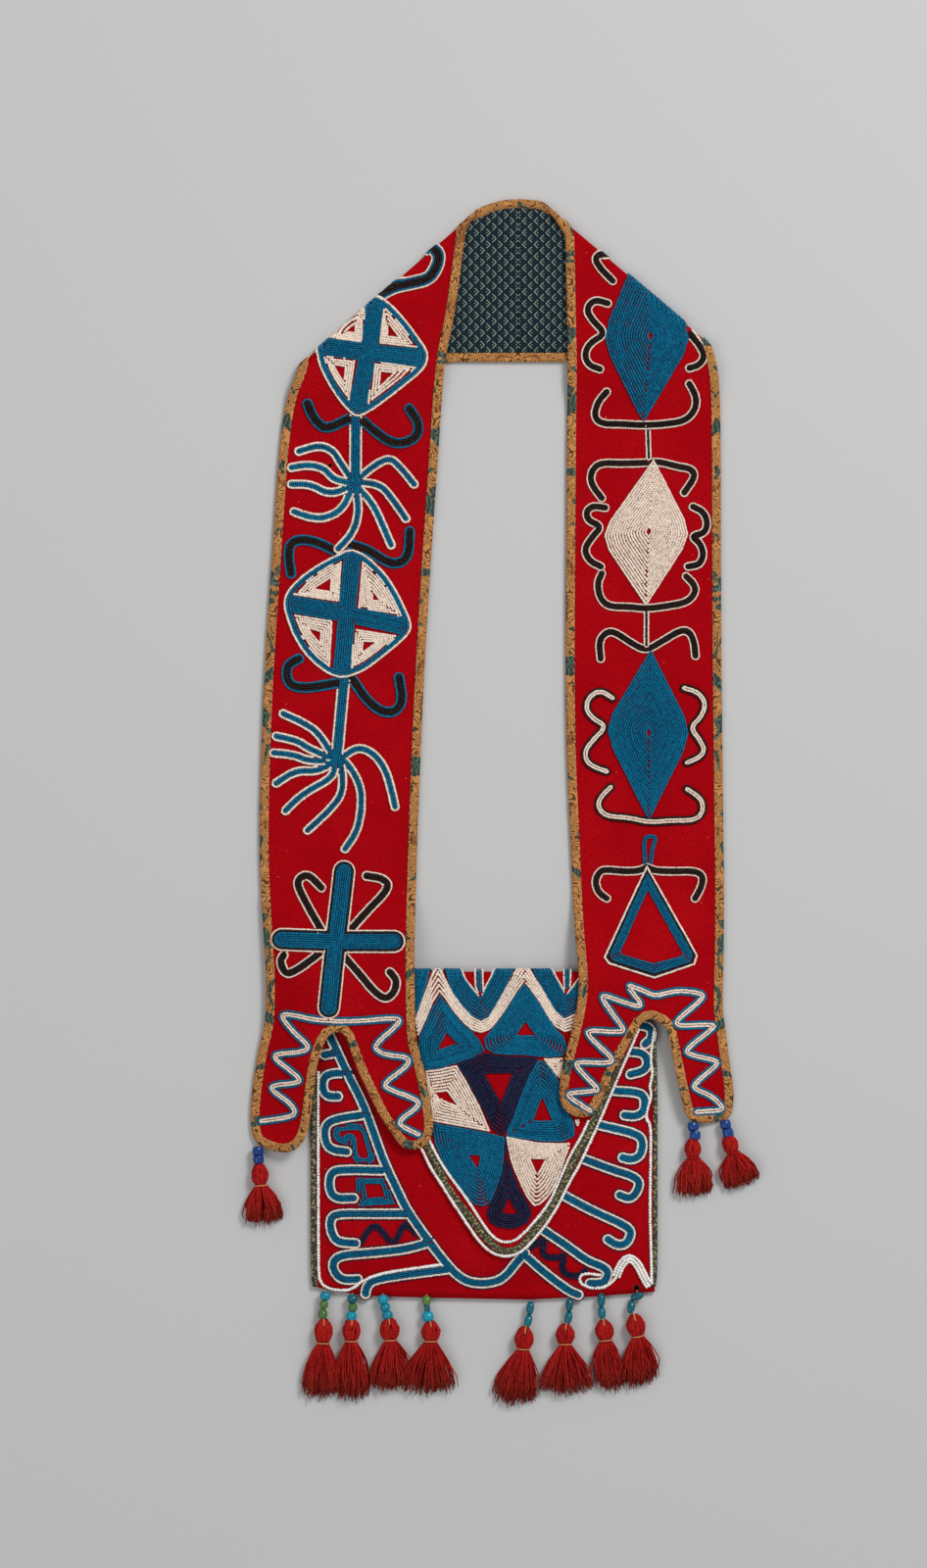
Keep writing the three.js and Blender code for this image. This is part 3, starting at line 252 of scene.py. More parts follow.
def heading(line):
    """Unit tangents of a line of points, by central differences."""
    return unit(np.gradient(line, axis=0))


def quarter_turned(ways):
    """Flat directions turned a quarter to the left: (x, y) becomes (-y, x)."""
    return np.stack([-ways[:, 1], ways[:, 0]], 1)


def ruled(left, right, shares):
    """A grid ruled between two edges with as many points each: left + (right - left) * share."""
    return left[:, None] + (right - left)[:, None] * np.asarray(shares)[None, :, None]


def edge_at(rows, points):
    """Where a rounded edge crosses each row of the pattern, as points."""
    line = rounded(points)
    return np.stack([np.interp(rows, line[:, 1], line[:, 0]), rows], 1)


# %% Meshes


def quads_of(rows, columns, start=0):
    """The faces of a grid, as numbers of their four corners."""
    corner = start + np.arange((rows - 1) * columns).reshape(rows - 1, columns)[:, :-1]
    return np.stack([corner, corner + columns, corner + columns + 1, corner + 1], -1).reshape(-1, 4)


def welded(grids):
    """Several grids as one list of points and faces, with the points that they share kept once."""
    starts = np.cumsum([0] + [grid.shape[0] * grid.shape[1] for grid in grids])
    faces = np.concatenate([quads_of(*grid.shape[:2], start) for grid, start in zip(grids, starts)])
    points = np.concatenate([grid.reshape(-1, 2) for grid in grids])
    _, first, kept = np.unique(np.round(points, 3), axis=0, return_index=True, return_inverse=True)
    return points[first], kept.reshape(-1)[faces]


def placed(name, mesh, materials):
    """A finished mesh as an object in the scene, on the bag's one body."""
    piece = bpy.data.objects.new(name, mesh)
    bpy.context.scene.collection.objects.link(piece)
    for material in materials:
        mesh.materials.append(material)
    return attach(piece, "root")


def make_mesh(name, points, faces, material):
    """One object from points in millimetres and faces, its normals turned outwards."""
    mesh = bpy.data.meshes.new(name)
    mesh.from_pydata((points * MM).tolist(), [], faces)
    build = bmesh.new()
    build.from_mesh(mesh)
    bmesh.ops.recalc_face_normals(build, faces=build.faces)
    build.to_mesh(mesh)
    build.free()
    mesh.polygons.foreach_set("use_smooth", np.ones(len(mesh.polygons), bool))
    return placed(name, mesh, [material])


def shell_faces(faces, count):
    """Upper faces, lower faces and the rim between: an edge is on the rim when one face has it alone."""
    edges = np.concatenate([faces[:, [k, (k + 1) % 4]] for k in range(4)])
    _, kept, uses = np.unique(np.sort(edges, 1), axis=0, return_index=True, return_counts=True)
    rim = edges[kept[uses == 1]]
    walls = np.stack([rim[:, 1], rim[:, 0], rim[:, 0] + count, rim[:, 1] + count], 1)
    return np.concatenate([faces, faces[:, ::-1] + count, walls])


def lay_out(piece, flat):
    """The UV map "flat": where each corner of a face lies on the flat cloth, in metres."""
    mesh = piece.data
    corners = np.zeros(len(mesh.loops), int)
    mesh.loops.foreach_get("vertex_index", corners)
    mesh.uv_layers.new(name="flat").data.foreach_set("uv", (flat[corners] * MM).ravel().astype(np.float32))


patterns = {}


def cloth(name, grids, place, low, high, material, solid):
    """A sheet of cloth in place of a solid: welded grids lifted to its upper and lower height."""
    flat, faces = welded(grids)
    points = np.concatenate([place(flat, high), place(flat, low)])
    piece = make_mesh(name, points, shell_faces(faces, len(flat)).tolist(), material)
    lay_out(piece, np.concatenate([flat, flat]))
    patterns[name] = grids
    print(name, len(faces), "quads a side")
    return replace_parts(piece, solid)


# %% [markdown]
# ## Materials
#
# Every material is made of nodes, most of them on the piece's own coordinates or on its flat pattern. The
# grain of fibres comes back on every cloth, yarn and thread, so it is a group, which gives a value and a
# normal. The cells of a printed lattice are a group too, which gives the place inside a cell.

# %% Node helpers


def shade(red, green, blue):
    """A colour given in the usual 0 to 255 steps, as the linear light that a shader works with."""
    steps = np.array([red, green, blue]) / 255
    linear = np.where(steps <= 0.04045, steps / 12.92, ((steps + 0.055) / 1.055) ** 2.4)
    return (*linear.tolist(), 1.0)


def node(tree, kind, inputs=None, **settings):
    """One node with its settings; an input is a value or the socket that feeds it."""
    made = tree.nodes.new(kind)
    for key, value in settings.items():
        setattr(made, key, value)
    for key, value in (inputs or {}).items():
        if isinstance(value, bpy.types.NodeSocket):
            tree.links.new(value, made.inputs[key])
        else:
            made.inputs[key].default_value = value
    return made


def maths(tree, operation, first, second=0.0):
    """The result of one sum on two values or sockets."""
    return node(tree, "ShaderNodeMath", {0: first, 1: second}, operation=operation).outputs[0]


def blend(tree, factor, first, second):
    """The first colour where factor is 0, the second where it is 1."""
    made = node(tree, "ShaderNodeMix", {0: factor, 6: first, 7: second}, data_type="RGBA")
    return made.outputs[2]


def span(tree, value, low, high):
    """A soft mask: 0 at low, 1 at high, clamped."""
    made = node(tree, "ShaderNodeMapRange", {0: value, 1: low, 2: high}, interpolation_type="SMOOTHSTEP")
    return made.outputs[0]


def new_group(name, inputs, outputs):
    """An empty node group with its sockets, and its two end nodes."""
    tree = bpy.data.node_groups.new(name, "ShaderNodeTree")
    for label, kind in inputs:
        tree.interface.new_socket(label, in_out="INPUT", socket_type=kind)
    for label, kind in outputs:
        tree.interface.new_socket(label, in_out="OUTPUT", socket_type=kind)
    return tree, tree.nodes.new("NodeGroupInput"), tree.nodes.new("NodeGroupOutput")


def new_material(name, **inputs):
    """A material with one surface; roughness=0.9 sets the surface's input "Roughness", and so on."""
    made = bpy.data.materials.new(name)
    made.use_nodes = True
    surface = made.node_tree.nodes["Principled BSDF"]
    for key, value in inputs.items():
        surface.inputs[key.replace("_", " ").title().replace("Ior", "IOR")].default_value = value
    return made, made.node_tree, surface


# %% Groups
FLOAT, VECTOR = "NodeSocketFloat", "NodeSocketVector"
grain_tree, grain_in, grain_out = new_group(
    "fibre_grain",
    [("Vector", VECTOR), ("Scale", FLOAT), ("Depth", FLOAT)],
    [("Value", FLOAT), ("Normal", VECTOR)],
)
fuzz = node(
    grain_tree, "ShaderNodeTexNoise",
    {
        "Vector": grain_in.outputs[0], "Scale": grain_in.outputs[1],
        "Detail": 4.0, "Roughness": 0.65, "Distortion": 0.8,
    },
)
grain_tree.links.new(fuzz.outputs[0], grain_out.inputs[0])
lift = node(
    grain_tree, "ShaderNodeBump",
    {"Strength": 0.55, "Distance": grain_in.outputs[2], "Height": fuzz.outputs[0]},
)
grain_tree.links.new(lift.outputs[0], grain_out.inputs[1])

cell_tree, cell_in, cell_out = new_group(
    "lattice_cell", [("X", FLOAT), ("Y", FLOAT), ("Pitch", FLOAT)], [("Across", FLOAT), ("Up", FLOAT)]
)
sums = maths(cell_tree, "ADD", cell_in.outputs[0], cell_in.outputs[1])
differences = maths(cell_tree, "SUBTRACT", cell_in.outputs[0], cell_in.outputs[1])
parts = [
    maths(
        cell_tree, "SUBTRACT",
        maths(cell_tree, "FRACT", maths(cell_tree, "DIVIDE", diagonal, cell_in.outputs[2])), 0.5,
    )
    for diagonal in (sums, differences)
]
cell_tree.links.new(maths(cell_tree, "ADD", *parts), cell_out.inputs[0])
cell_tree.links.new(maths(cell_tree, "SUBTRACT", *parts), cell_out.inputs[1])
print("node groups", len(bpy.data.node_groups))


def grained(tree, surface, vector, scale, depth):
    """Adds the fibre grain to a surface and gives its value."""
    made = node(tree, "ShaderNodeGroup", node_tree=grain_tree)
    tree.links.new(vector, made.inputs[0])
    made.inputs[1].default_value = scale
    made.inputs[2].default_value = depth
    tree.links.new(made.outputs[1], surface.inputs["Normal"])
    return made.outputs[0]


# %% [markdown]
# ### Cloth
#
# The wool is felted: fine fuzz, a soft sheen, slow patches where it has faded, a little lint, and two
# moth holes, each a frayed rim round painted shade, the dark of the hole's depth. The calicos are thin
# cotton prints: pale chevrons and dots on dark blue for the lining, whose ground is kept darker as
# painted shade, brown squiggles with green and brown sprigs on ochre for the binding, and flecks on the
# pouch's edge and the flap's band.

# %% Wool
WOOL_RED, WOOL_DEEP, WOOL_FADED = shade(166, 3, 14), shade(142, 2, 11), shade(180, 8, 18)
# Lint and frayed fibres are the wool's own colours; the third colour is painted shade for the inside of a
# moth hole.
LINT, FRAYED, HOLE_SHADE = shade(214, 150, 120), shade(96, 40, 22), shade(14, 8, 7)
MOTH_HOLES = [(on_pouch((649.5, 1313)), 2.4), (on_left((337, 474.5)), 1.5)]
wool, tree, surface = new_material(
    "red_wool", roughness=0.95, specular_ior_level=0.04,
    sheen_weight=0.03, sheen_roughness=0.4, sheen_tint=shade(255, 150, 140),
)
where = node(tree, "ShaderNodeTexCoord").outputs["Object"]
fuzzy = grained(tree, surface, where, 900.0, 0.0006)
patches = node(tree, "ShaderNodeTexNoise", {"Vector": where, "Scale": 26.0, "Detail": 3.0}).outputs[0]
red = blend(tree, span(tree, patches, 0.35, 0.75), WOOL_RED, WOOL_FADED)
red = blend(tree, span(tree, fuzzy, 0.62, 0.3), red, WOOL_DEEP)
lint = node(tree, "ShaderNodeTexVoronoi", {"Vector": where, "Scale": 95.0, "Randomness": 1.0}).outputs[0]
red = blend(tree, maths(tree, "MULTIPLY", span(tree, lint, 0.045, 0.02), 0.45), red, LINT)
flat = node(tree, "ShaderNodeVectorMath", {0: where, 1: (1, 1, 0)}, operation="MULTIPLY").outputs[0]
# Each moth hole is painted, as the cloth is not cut through: a frayed brown rim, and inside it painted shade
# for the hole's depth.
for spot, reach in MOTH_HOLES:
    away = node(
        tree, "ShaderNodeVectorMath", {0: flat, 1: (*(spot * MM).tolist(), 0)}, operation="DISTANCE"
    ).outputs["Value"]
    ragged = maths(tree, "MULTIPLY", away, maths(tree, "ADD", fuzzy, 0.5))
    red = blend(tree, span(tree, ragged, reach * MM, 0.8 * reach * MM), red, FRAYED)
    red = blend(tree, span(tree, ragged, 0.7 * reach * MM, 0.6 * reach * MM), red, HOLE_SHADE)
tree.links.new(red, surface.inputs["Base Color"])

# %% Lining print
CALICO = {"roughness": 0.9, "specular_ior_level": 0.2}
LATTICE_PITCH, PRINT_STRENGTH = 0.0069, 0.66
CHEVRON_TIP, CHEVRON_ARM, CHEVRON_REACH = 0.27, (0.14, 0.08), (0.65, 0.58)
DOT_PLACE, DOT_EDGE = 0.34, (0.013, 0.006)
SEAM = 528.5
SEAM_X = on_left((SEAM, 0))[0] * MM
lining, tree, surface = new_material("lining_calico", **CALICO)
where = node(tree, "ShaderNodeTexCoord").outputs["Object"]
threads = grained(tree, surface, where, 1400.0, 0.0002)
axes = node(tree, "ShaderNodeSeparateXYZ", {0: where}).outputs
from_seam = maths(tree, "ABSOLUTE", maths(tree, "SUBTRACT", axes[0], SEAM_X))
cell = node(tree, "ShaderNodeGroup", node_tree=cell_tree)
tree.links.new(from_seam, cell.inputs[0])
tree.links.new(axes[1], cell.inputs[1])
cell.inputs[2].default_value = LATTICE_PITCH
across, up = cell.outputs
tall = maths(tree, "ABSOLUTE", up)
tip = maths(tree, "ABSOLUTE", maths(tree, "SUBTRACT", maths(tree, "ADD", across, CHEVRON_TIP), tall))
chevron = maths(tree, "MULTIPLY", span(tree, tip, *CHEVRON_ARM), span(tree, tall, *CHEVRON_REACH))
dot_x = maths(tree, "SUBTRACT", across, DOT_PLACE)
dot = maths(tree, "ADD", maths(tree, "MULTIPLY", dot_x, dot_x), maths(tree, "MULTIPLY", up, up))
marks = maths(tree, "MAXIMUM", chevron, span(tree, dot, *DOT_EDGE))
# The ground is the calico's own dark blue, darkened further as painted shade for the shade that the lining
# lies in.
dark = blend(tree, threads, shade(8, 20, 30), shade(22, 42, 50))
printed = blend(tree, maths(tree, "MULTIPLY", marks, PRINT_STRENGTH), dark, shade(156, 170, 156))
tree.links.new(printed, surface.inputs["Base Color"])

# %% Binding print
STITCH_STEP, SQUIGGLES = 0.0042, 9
binding_print, tree, surface = new_material("ochre_calico", **CALICO)
where = node(tree, "ShaderNodeUVMap", uv_map="flat").outputs[0]
threads = grained(tree, surface, where, 1500.0, 0.0002)
axes = node(tree, "ShaderNodeSeparateXYZ", {0: where}).outputs
winding = node(
    tree, "ShaderNodeTexNoise", {"Vector": where, "Scale": 150.0, "Detail": 0.0, "Distortion": 0.7}
).outputs[0]
squiggle = maths(tree, "FRACT", maths(tree, "MULTIPLY", winding, SQUIGGLES))
squiggle = maths(tree, "ABSOLUTE", maths(tree, "SUBTRACT", squiggle, 0.5))
ground = blend(tree, threads, shade(176, 114, 58), shade(206, 148, 88))
drawn = maths(tree, "MULTIPLY", span(tree, squiggle, 0.2, 0.13), 0.9)
ground = blend(tree, drawn, ground, shade(60, 36, 20))
sprig = node(
    tree, "ShaderNodeTexNoise", {"Vector": where, "Scale": 48.0, "Detail": 1.0, "Distortion": 1.4}
).outputs[0]
leaf, flower = span(tree, sprig, 0.63, 0.64), span(tree, sprig, 0.375, 0.365)
curls = node(
    tree, "ShaderNodeTexWave",
    {"Vector": where, "Scale": 120.0, "Distortion": 9.0, "Detail": 1.0, "Detail Scale": 2.0},
    wave_type="RINGS",
).outputs[1]
greens = blend(tree, span(tree, curls, 0.7, 0.9), shade(22, 52, 52), shade(74, 112, 98))
browns = blend(tree, span(tree, curls, 0.6, 0.8), shade(92, 54, 30), shade(170, 106, 56))
ground = blend(tree, maths(tree, "MULTIPLY", leaf, 0.92), ground, greens)
ground = blend(tree, maths(tree, "MULTIPLY", flower, 0.8), ground, browns)
stitch = maths(tree, "FRACT", maths(tree, "DIVIDE", axes[0], STITCH_STEP))
stitch = maths(tree, "MULTIPLY", span(tree, stitch, 0.42, 0.36), span(tree, axes[1], 0.0009, 0.0006))
ground = blend(tree, maths(tree, "MULTIPLY", stitch, 0.8), ground, shade(232, 205, 160))
tree.links.new(ground, surface.inputs["Base Color"])

# %% Flecked prints


def flecked(name, low, high, fleck):
    """A dark print with many small pale flecks: the high spots of a fine noise."""
    made, tree, surface = new_material(name, **CALICO)
    where = node(tree, "ShaderNodeTexCoord").outputs["Object"]
    threads = grained(tree, surface, where, 1300.0, 0.0002)
    specks = node(tree, "ShaderNodeTexNoise", {"Vector": where, "Scale": 680.0, "Detail": 1.0}).outputs[0]
    paint = blend(tree, threads, low, high)
    paint = blend(tree, maths(tree, "MULTIPLY", span(tree, specks, 0.52, 0.6), 0.85), paint, fleck)
    tree.links.new(paint, surface.inputs["Base Color"])
    return made


dark_print = flecked("dark_calico", shade(40, 40, 34), shade(74, 72, 62), shade(160, 150, 108))
olive_print = flecked("olive_calico", shade(42, 46, 38), shade(76, 78, 62), shade(164, 150, 104))


# %% [markdown]
# ### Beads, yarn and thread
#
# No two beads are quite alike, so each one carries a tone of its own in a point attribute, and the material
# moves between a deeper and a lighter shade by it. Yarn carries two: a tone for each strand, and how far
# along the strand a point lies, because the ends have browned.

# %% Glass


def glass(name, deep, light, crevice_shade, roughness=0.35, shine=0.15):
    """Glass beads. The tone of each bead runs from deep to light, and towards the cloth it falls to a darker
    colour, painted shade for the crevices between rows, so that the rows stand apart."""
    made, tree, surface = new_material(name, roughness=roughness, specular_ior_level=shine)
    tone = node(tree, "ShaderNodeAttribute", attribute_name="tone").outputs["Fac"]
    rise = node(tree, "ShaderNodeAttribute", attribute_name="rise").outputs["Fac"]
    # Painted shade: near the cloth, where rise is low, the colour falls to the shade of the crevices between
    # rows.
    colour = blend(tree, span(tree, rise, 0.55, 0.85), crevice_shade, blend(tree, tone, deep, light))
    tree.links.new(colour, surface.inputs["Base Color"])
    return made


POLISHED = 0.07, 0.4
# The third colour of each glass is painted shade for the crevices between rows; for the white beads it is
# reddened by the wool that shows, in shade, between them.
GLASS = {
    "white": glass("white_glass", shade(243, 217, 196), shade(252, 242, 228), shade(166, 102, 88)),
    "bright": glass("edging_glass", shade(246, 242, 236), shade(255, 254, 250), shade(170, 140, 128)),
    "blue": glass("blue_glass", shade(0, 81, 116), shade(0, 120, 160), shade(0, 16, 28)),
    "black": glass("black_glass", shade(14, 9, 8), shade(52, 40, 36), shade(6, 3, 3)),
    "navy": glass("navy_glass", shade(18, 21, 48), shade(40, 44, 80), shade(6, 5, 16)),
    "turquoise": glass(
        "turquoise_glass", shade(0, 112, 138), shade(8, 150, 174), shade(0, 52, 68), *POLISHED
    ),
    "green": glass("green_glass", shade(56, 92, 42), shade(94, 130, 64), shade(20, 46, 16), *POLISHED),
    "teal": glass("teal_glass", shade(0, 72, 88), shade(0, 106, 122), shade(0, 38, 46), *POLISHED),
    "cobalt": glass("cobalt_glass", shade(2, 40, 104), shade(16, 66, 138), shade(2, 14, 52), *POLISHED),
}

# %% Yarn
yarn, tree, surface = new_material(
    "tassel_yarn", roughness=0.95, specular_ior_level=0.05,
    sheen_weight=0.05, sheen_roughness=0.4, sheen_tint=shade(255, 160, 140),
)
where = node(tree, "ShaderNodeTexCoord").outputs["Object"]
fuzzy = grained(tree, surface, where, 1600.0, 0.0004)
tone = node(tree, "ShaderNodeAttribute", attribute_name="tone").outputs["Fac"]
along = node(tree, "ShaderNodeAttribute", attribute_name="along").outputs["Fac"]
red = blend(tree, tone, shade(160, 18, 20), shade(212, 44, 38))
brown = blend(tree, tone, shade(118, 30, 22), shade(174, 58, 40))
red = blend(tree, maths(tree, "MULTIPLY", along, along), red, brown)
red = blend(tree, span(tree, fuzzy, 0.6, 0.3), red, shade(96, 14, 18))
tree.links.new(red, surface.inputs["Base Color"])

thread, tree, surface = new_material("tie_thread", roughness=0.8)
where = node(tree, "ShaderNodeTexCoord").outputs["Object"]
fuzzy = grained(tree, surface, where, 2200.0, 0.0002)
tree.links.new(blend(tree, fuzzy, shade(190, 104, 56), shade(226, 156, 98)), surface.inputs["Base Color"])
print("materials", len(bpy.data.materials))

# %% [markdown]
# ## The strap
#
# Each half is a band of wool with a lining. The front leg is ruled row by row between its outer and inner
# edge down to the fork, and then each tab between its own two edges. The back leg is ruled from the fold to
# the seam at the centre back, and unfolded to the same flat cloth, so that both legs weld along the fold.

# %% Outlines of the strap
LEFT_OUTER = [
    (477, 221), (330, 350), (312, 366), (305, 374), (302, 383), (293, 404), (285.5, 448), (278.5, 556),
    (270, 680), (265.4, 800), (264.7, 880), (269, 954), (272, 1000), (271, 1045), (264, 1069),
    (257.5, 1111), (255.4, 1139), (257, 1158), (262.5, 1167), (275, 1173), (289, 1176),
]
LEFT_INNER = [
    (477, 221), (475, 236), (467, 299), (462, 331), (453, 371), (446, 480), (440, 565), (433, 680),
    (429.5, 760), (425.5, 860), (422.8, 967), (423.5, 1034), (425, 1062), (429.4, 1076), (435, 1098.6),
    (438, 1115), (442, 1139), (442, 1155), (436.4, 1166), (428, 1171), (421, 1172),
]
LEFT_FORK_OUTER = [
    (343, 1051), (335.5, 1056.5), (330, 1066), (324, 1087), (321.4, 1107), (316.5, 1146), (311.6, 1162),
    (302, 1173), (289, 1176),
]
LEFT_FORK_INNER = [
    (343, 1051), (351.5, 1054.5), (358, 1070.5), (366, 1093), (375, 1111), (387, 1136.5), (398.6, 1153),
    (407, 1166), (414, 1171), (421, 1172),
]
RIGHT_OUTER = [
    (576, 224), (700, 329), (716, 343), (725, 352), (730.6, 367.5), (734.5, 396), (735.4, 448),
    (735.7, 560), (736, 660), (738, 840), (739, 916), (738, 999), (737, 1028), (739.8, 1047),
    (743.7, 1079), (748.8, 1111), (748, 1130), (745, 1140.5), (734.7, 1144), (719.4, 1146),
]
RIGHT_INNER = [
    (576, 224), (576.6, 240), (577.6, 279.5), (578.5, 333), (579.5, 371), (578.5, 448), (578, 547),
    (577, 660), (578, 767), (582, 850), (586, 948), (590, 987), (590.6, 1012), (585.5, 1041),
    (579, 1066.5), (572.8, 1092), (570, 1111), (571.5, 1125), (578, 1134), (586, 1138), (593, 1139),
]
RIGHT_FORK_INNER = [
    (662, 1038), (654, 1043.6), (646.7, 1056), (636.5, 1074), (629, 1087), (620, 1107), (612, 1125),
    (606, 1135.4), (599, 1138.6), (593, 1139),
]
RIGHT_FORK_OUTER = [
    (662, 1038), (669.7, 1041), (678.6, 1046), (682.4, 1061), (687.6, 1087), (694, 1117.5), (699, 1137),
    (704, 1143), (719.4, 1146),
]
BAND_TOP, BAND_FOOT = 203, 369
LEFT_FOLD_FOOT, RIGHT_FOLD_FOOT = 364, 340
LEFT_FOOT = [(SEAM, BAND_FOOT), (440, BAND_FOOT), (335, 372)]
RIGHT_FOOT = [(SEAM, BAND_FOOT), (600, BAND_FOOT), (690, 358)]
LEFT_ARCH = [(520, BAND_TOP), (505, 205.5), (490, 212), (477, 223)]
RIGHT_ARCH = [(537, BAND_TOP), (552, 205), (564, 211), (576, 224)]

# %% Ruling one half
TUCK, LINING_TUCK, LEAST_TUCK = 2.2, 9.2, 0.1
ROW_STEP, SIDE_COLUMNS, TAB_ROWS, END_ROWS = 5, 12, 28, 4
TOP_EASE, TAB_EASE = 12, 9
FOLD_LEAD, FOLD_ROOM, TIP_ROOM, SEAM_GAP = 2, 3, 0.4, 0.3


def strap_grids(on, unfold, outer, inner, fork_outer, fork_inner, arch, foot, fold_foot, tuck):
    """The flat grids of one half, in millimetres: front leg, two tabs and back leg. The edges are drawn
    in by tuck, because the binding goes round them."""
    way = 1 if inner[5][0] > outer[5][0] else -1
    apex, first = fork_outer[0], arch[-1][1] + FOLD_LEAD
    fold_foot = min(fold_foot, BAND_FOOT - tuck - FOLD_ROOM)
    band_rows = np.linspace(first, fold_foot, 1 + int((fold_foot - first) / ROW_STEP))
    leg_rows = np.linspace(fold_foot, apex[1] - tuck, 1 + int((apex[1] - fold_foot) / ROW_STEP))[1:]
    rows = np.concatenate([band_rows, leg_rows])
    left, right = edge_at(rows, outer), edge_at(rows, inner)
    room = np.clip((rows - first) / TOP_EASE, LEAST_TUCK, 1) * tuck
    left[:, 0] += way * room * (rows > fold_foot)
    right[:, 0] -= way * room
    split = (apex[0] - left[-1, 0]) / (right[-1, 0] - left[-1, 0])
    shares = np.concatenate([np.linspace(0, split, SIDE_COLUMNS), np.linspace(split, 1, SIDE_COLUMNS)[1:]])
    front = on(ruled(left, right, shares))
    folded = front[: len(band_rows), 0]
    middle = (folded - unfold(folded)) / 2
    front[: len(band_rows), 0] = folded - middle
    tabs = []
    for near, far, sign in ((outer, fork_outer, 1), (fork_inner, inner, -1)):
        start, end = apex[1] - tuck, near[-1][1] - tuck - TIP_ROOM
        eased = 1 - (1 - np.linspace(0, 1, TAB_ROWS)) ** 2
        rows = start + (end - start) * eased
        one, two = edge_at(rows, near), edge_at(rows, far)
        room = np.clip((rows - start) / TAB_EASE, 0, 1) * tuck
        one[:, 0] += way * (tuck if sign == 1 else room)
        two[:, 0] -= way * (room if sign == 1 else tuck)
        tabs.append(on(ruled(one, two, np.linspace(0, 1, SIDE_COLUMNS))))
    tabs[0][0], tabs[1][0] = front[-1, :SIDE_COLUMNS], front[-1, SIDE_COLUMNS - 1 :]
    arch_rows = np.linspace(arch[0][1] + tuck, first - FOLD_ROOM, END_ROWS)
    low_rows = np.linspace(fold_foot, BAND_FOOT - tuck, END_ROWS)[1:]
    fold = np.polyfit([outer[0][1], outer[1][1]], [outer[0][0], outer[1][0]], 1)
    foot_ends = [np.polyval(fold, fold_foot), foot[-1][0]]
    low_edge = np.interp(low_rows, [fold_foot, BAND_FOOT - tuck], foot_ends)
    arch_across, arch_down = np.transpose(arch)
    edges = [np.interp(arch_rows - tuck, arch_down, arch_across), low_edge]
    seam_gap = SEAM_GAP * way
    parts = []
    for side_rows, edge in zip((arch_rows, low_rows), edges):
        near = np.stack([edge, side_rows], 1)
        far = np.stack([np.full(len(side_rows), SEAM - seam_gap), side_rows], 1)
        parts.append(unfold(on(ruled(near, far, np.linspace(0, 1, 2 * SIDE_COLUMNS)))))
    seam_line = unfold(on(np.stack([np.full(len(band_rows), SEAM - seam_gap), band_rows], 1)))
    middle_part = ruled(front[: len(band_rows), 0], seam_line, np.linspace(0, 1, 2 * SIDE_COLUMNS))
    back = np.concatenate([parts[0], middle_part, parts[1]])
    return [front, *tabs, back]


# %% Both halves
HALVES = {
    "left": (
        on_left, left_place, left_unfold, LEFT_OUTER, LEFT_INNER, LEFT_FORK_OUTER, LEFT_FORK_INNER,
        LEFT_ARCH, LEFT_FOOT, LEFT_FOLD_FOOT,
    ),
    "right": (
        on_right, right_place, right_unfold, RIGHT_OUTER, RIGHT_INNER, RIGHT_FORK_OUTER, RIGHT_FORK_INNER,
        RIGHT_ARCH, RIGHT_FOOT, RIGHT_FOLD_FOOT,
    ),
}
pieces = {}
for side, (on, place, unfold, *outlines) in HALVES.items():
    name = f"strap_{side}"
    grids = strap_grids(on, unfold, *outlines, TUCK)
    pieces[f"{name}_wool"] = cloth(
        f"{name}_wool", grids, place, WOOL_BASE, WOOL_TOP, wool, f"{name}_cloth"
    )
    grids = strap_grids(on, unfold, *outlines, LINING_TUCK)
    pieces[f"{name}_lining"] = cloth(
        f"{name}_calico", grids, place, 0, LINING, lining, f"{name}_lining"
    )

# %% [markdown]
# ## The strap's binding
#
# A strip of calico is folded round the edge. Its section is a closed ring, given as distances in from the
# edge and heights. The ring is carried along the outline of the flat cloth, and the same place function
# takes it over the fold and up onto the pouch. The strip's own coordinates run along it and across it, so
# the print follows the edge.

# %% Strips round an edge
FLANGE, STRIP_STEP = 5.2, 2.2
STRAP_SECTION = [
    (FLANGE, 2.15), (FLANGE, 2.75), (FLANGE - 0.5, 2.92), (2.6, 3.0), (0.8, 2.86), (0.1, 2.3), (0, 1.4),
    (0.1, 0.5), (0.8, 0.03), (FLANGE, 0), (FLANGE, 0.4), (1.1, 0.5), (0.8, 1.4), (1.1, 2.12),
]


def strip(name, line, section, place, material, inward, solid):
    """A ring of (distance in from the edge, height) carried along a flat line, in place of a solid. The ends
    are closed. Its UV map runs along the strip and across it."""
    ahead = heading(line)
    normal = inward * quarter_turned(ahead)
    ring = np.asarray(section, float)
    flat = line[:, None] + normal[:, None] * ring[None, :, :1]
    points = place(flat, np.broadcast_to(ring[None, :, 1], flat.shape[:2]))
    count, sides = flat.shape[:2]
    index = np.arange(count * sides).reshape(count, sides)
    after = np.roll(index, -1, 1)
    faces = np.stack([index[:-1], index[1:], after[1:], after[:-1]], -1).reshape(-1, 4).tolist()
    faces += [index[0].tolist(), index[-1, ::-1].tolist()]
    piece = make_mesh(name, points.reshape(-1, 3), faces, material)
    spread = np.broadcast_arrays(travelled(line)[:, None], travelled(ring)[None, :])
    lay_out(piece, np.stack(spread, -1).reshape(-1, 2))
    print(name, count, "steps")
    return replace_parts(piece, solid)


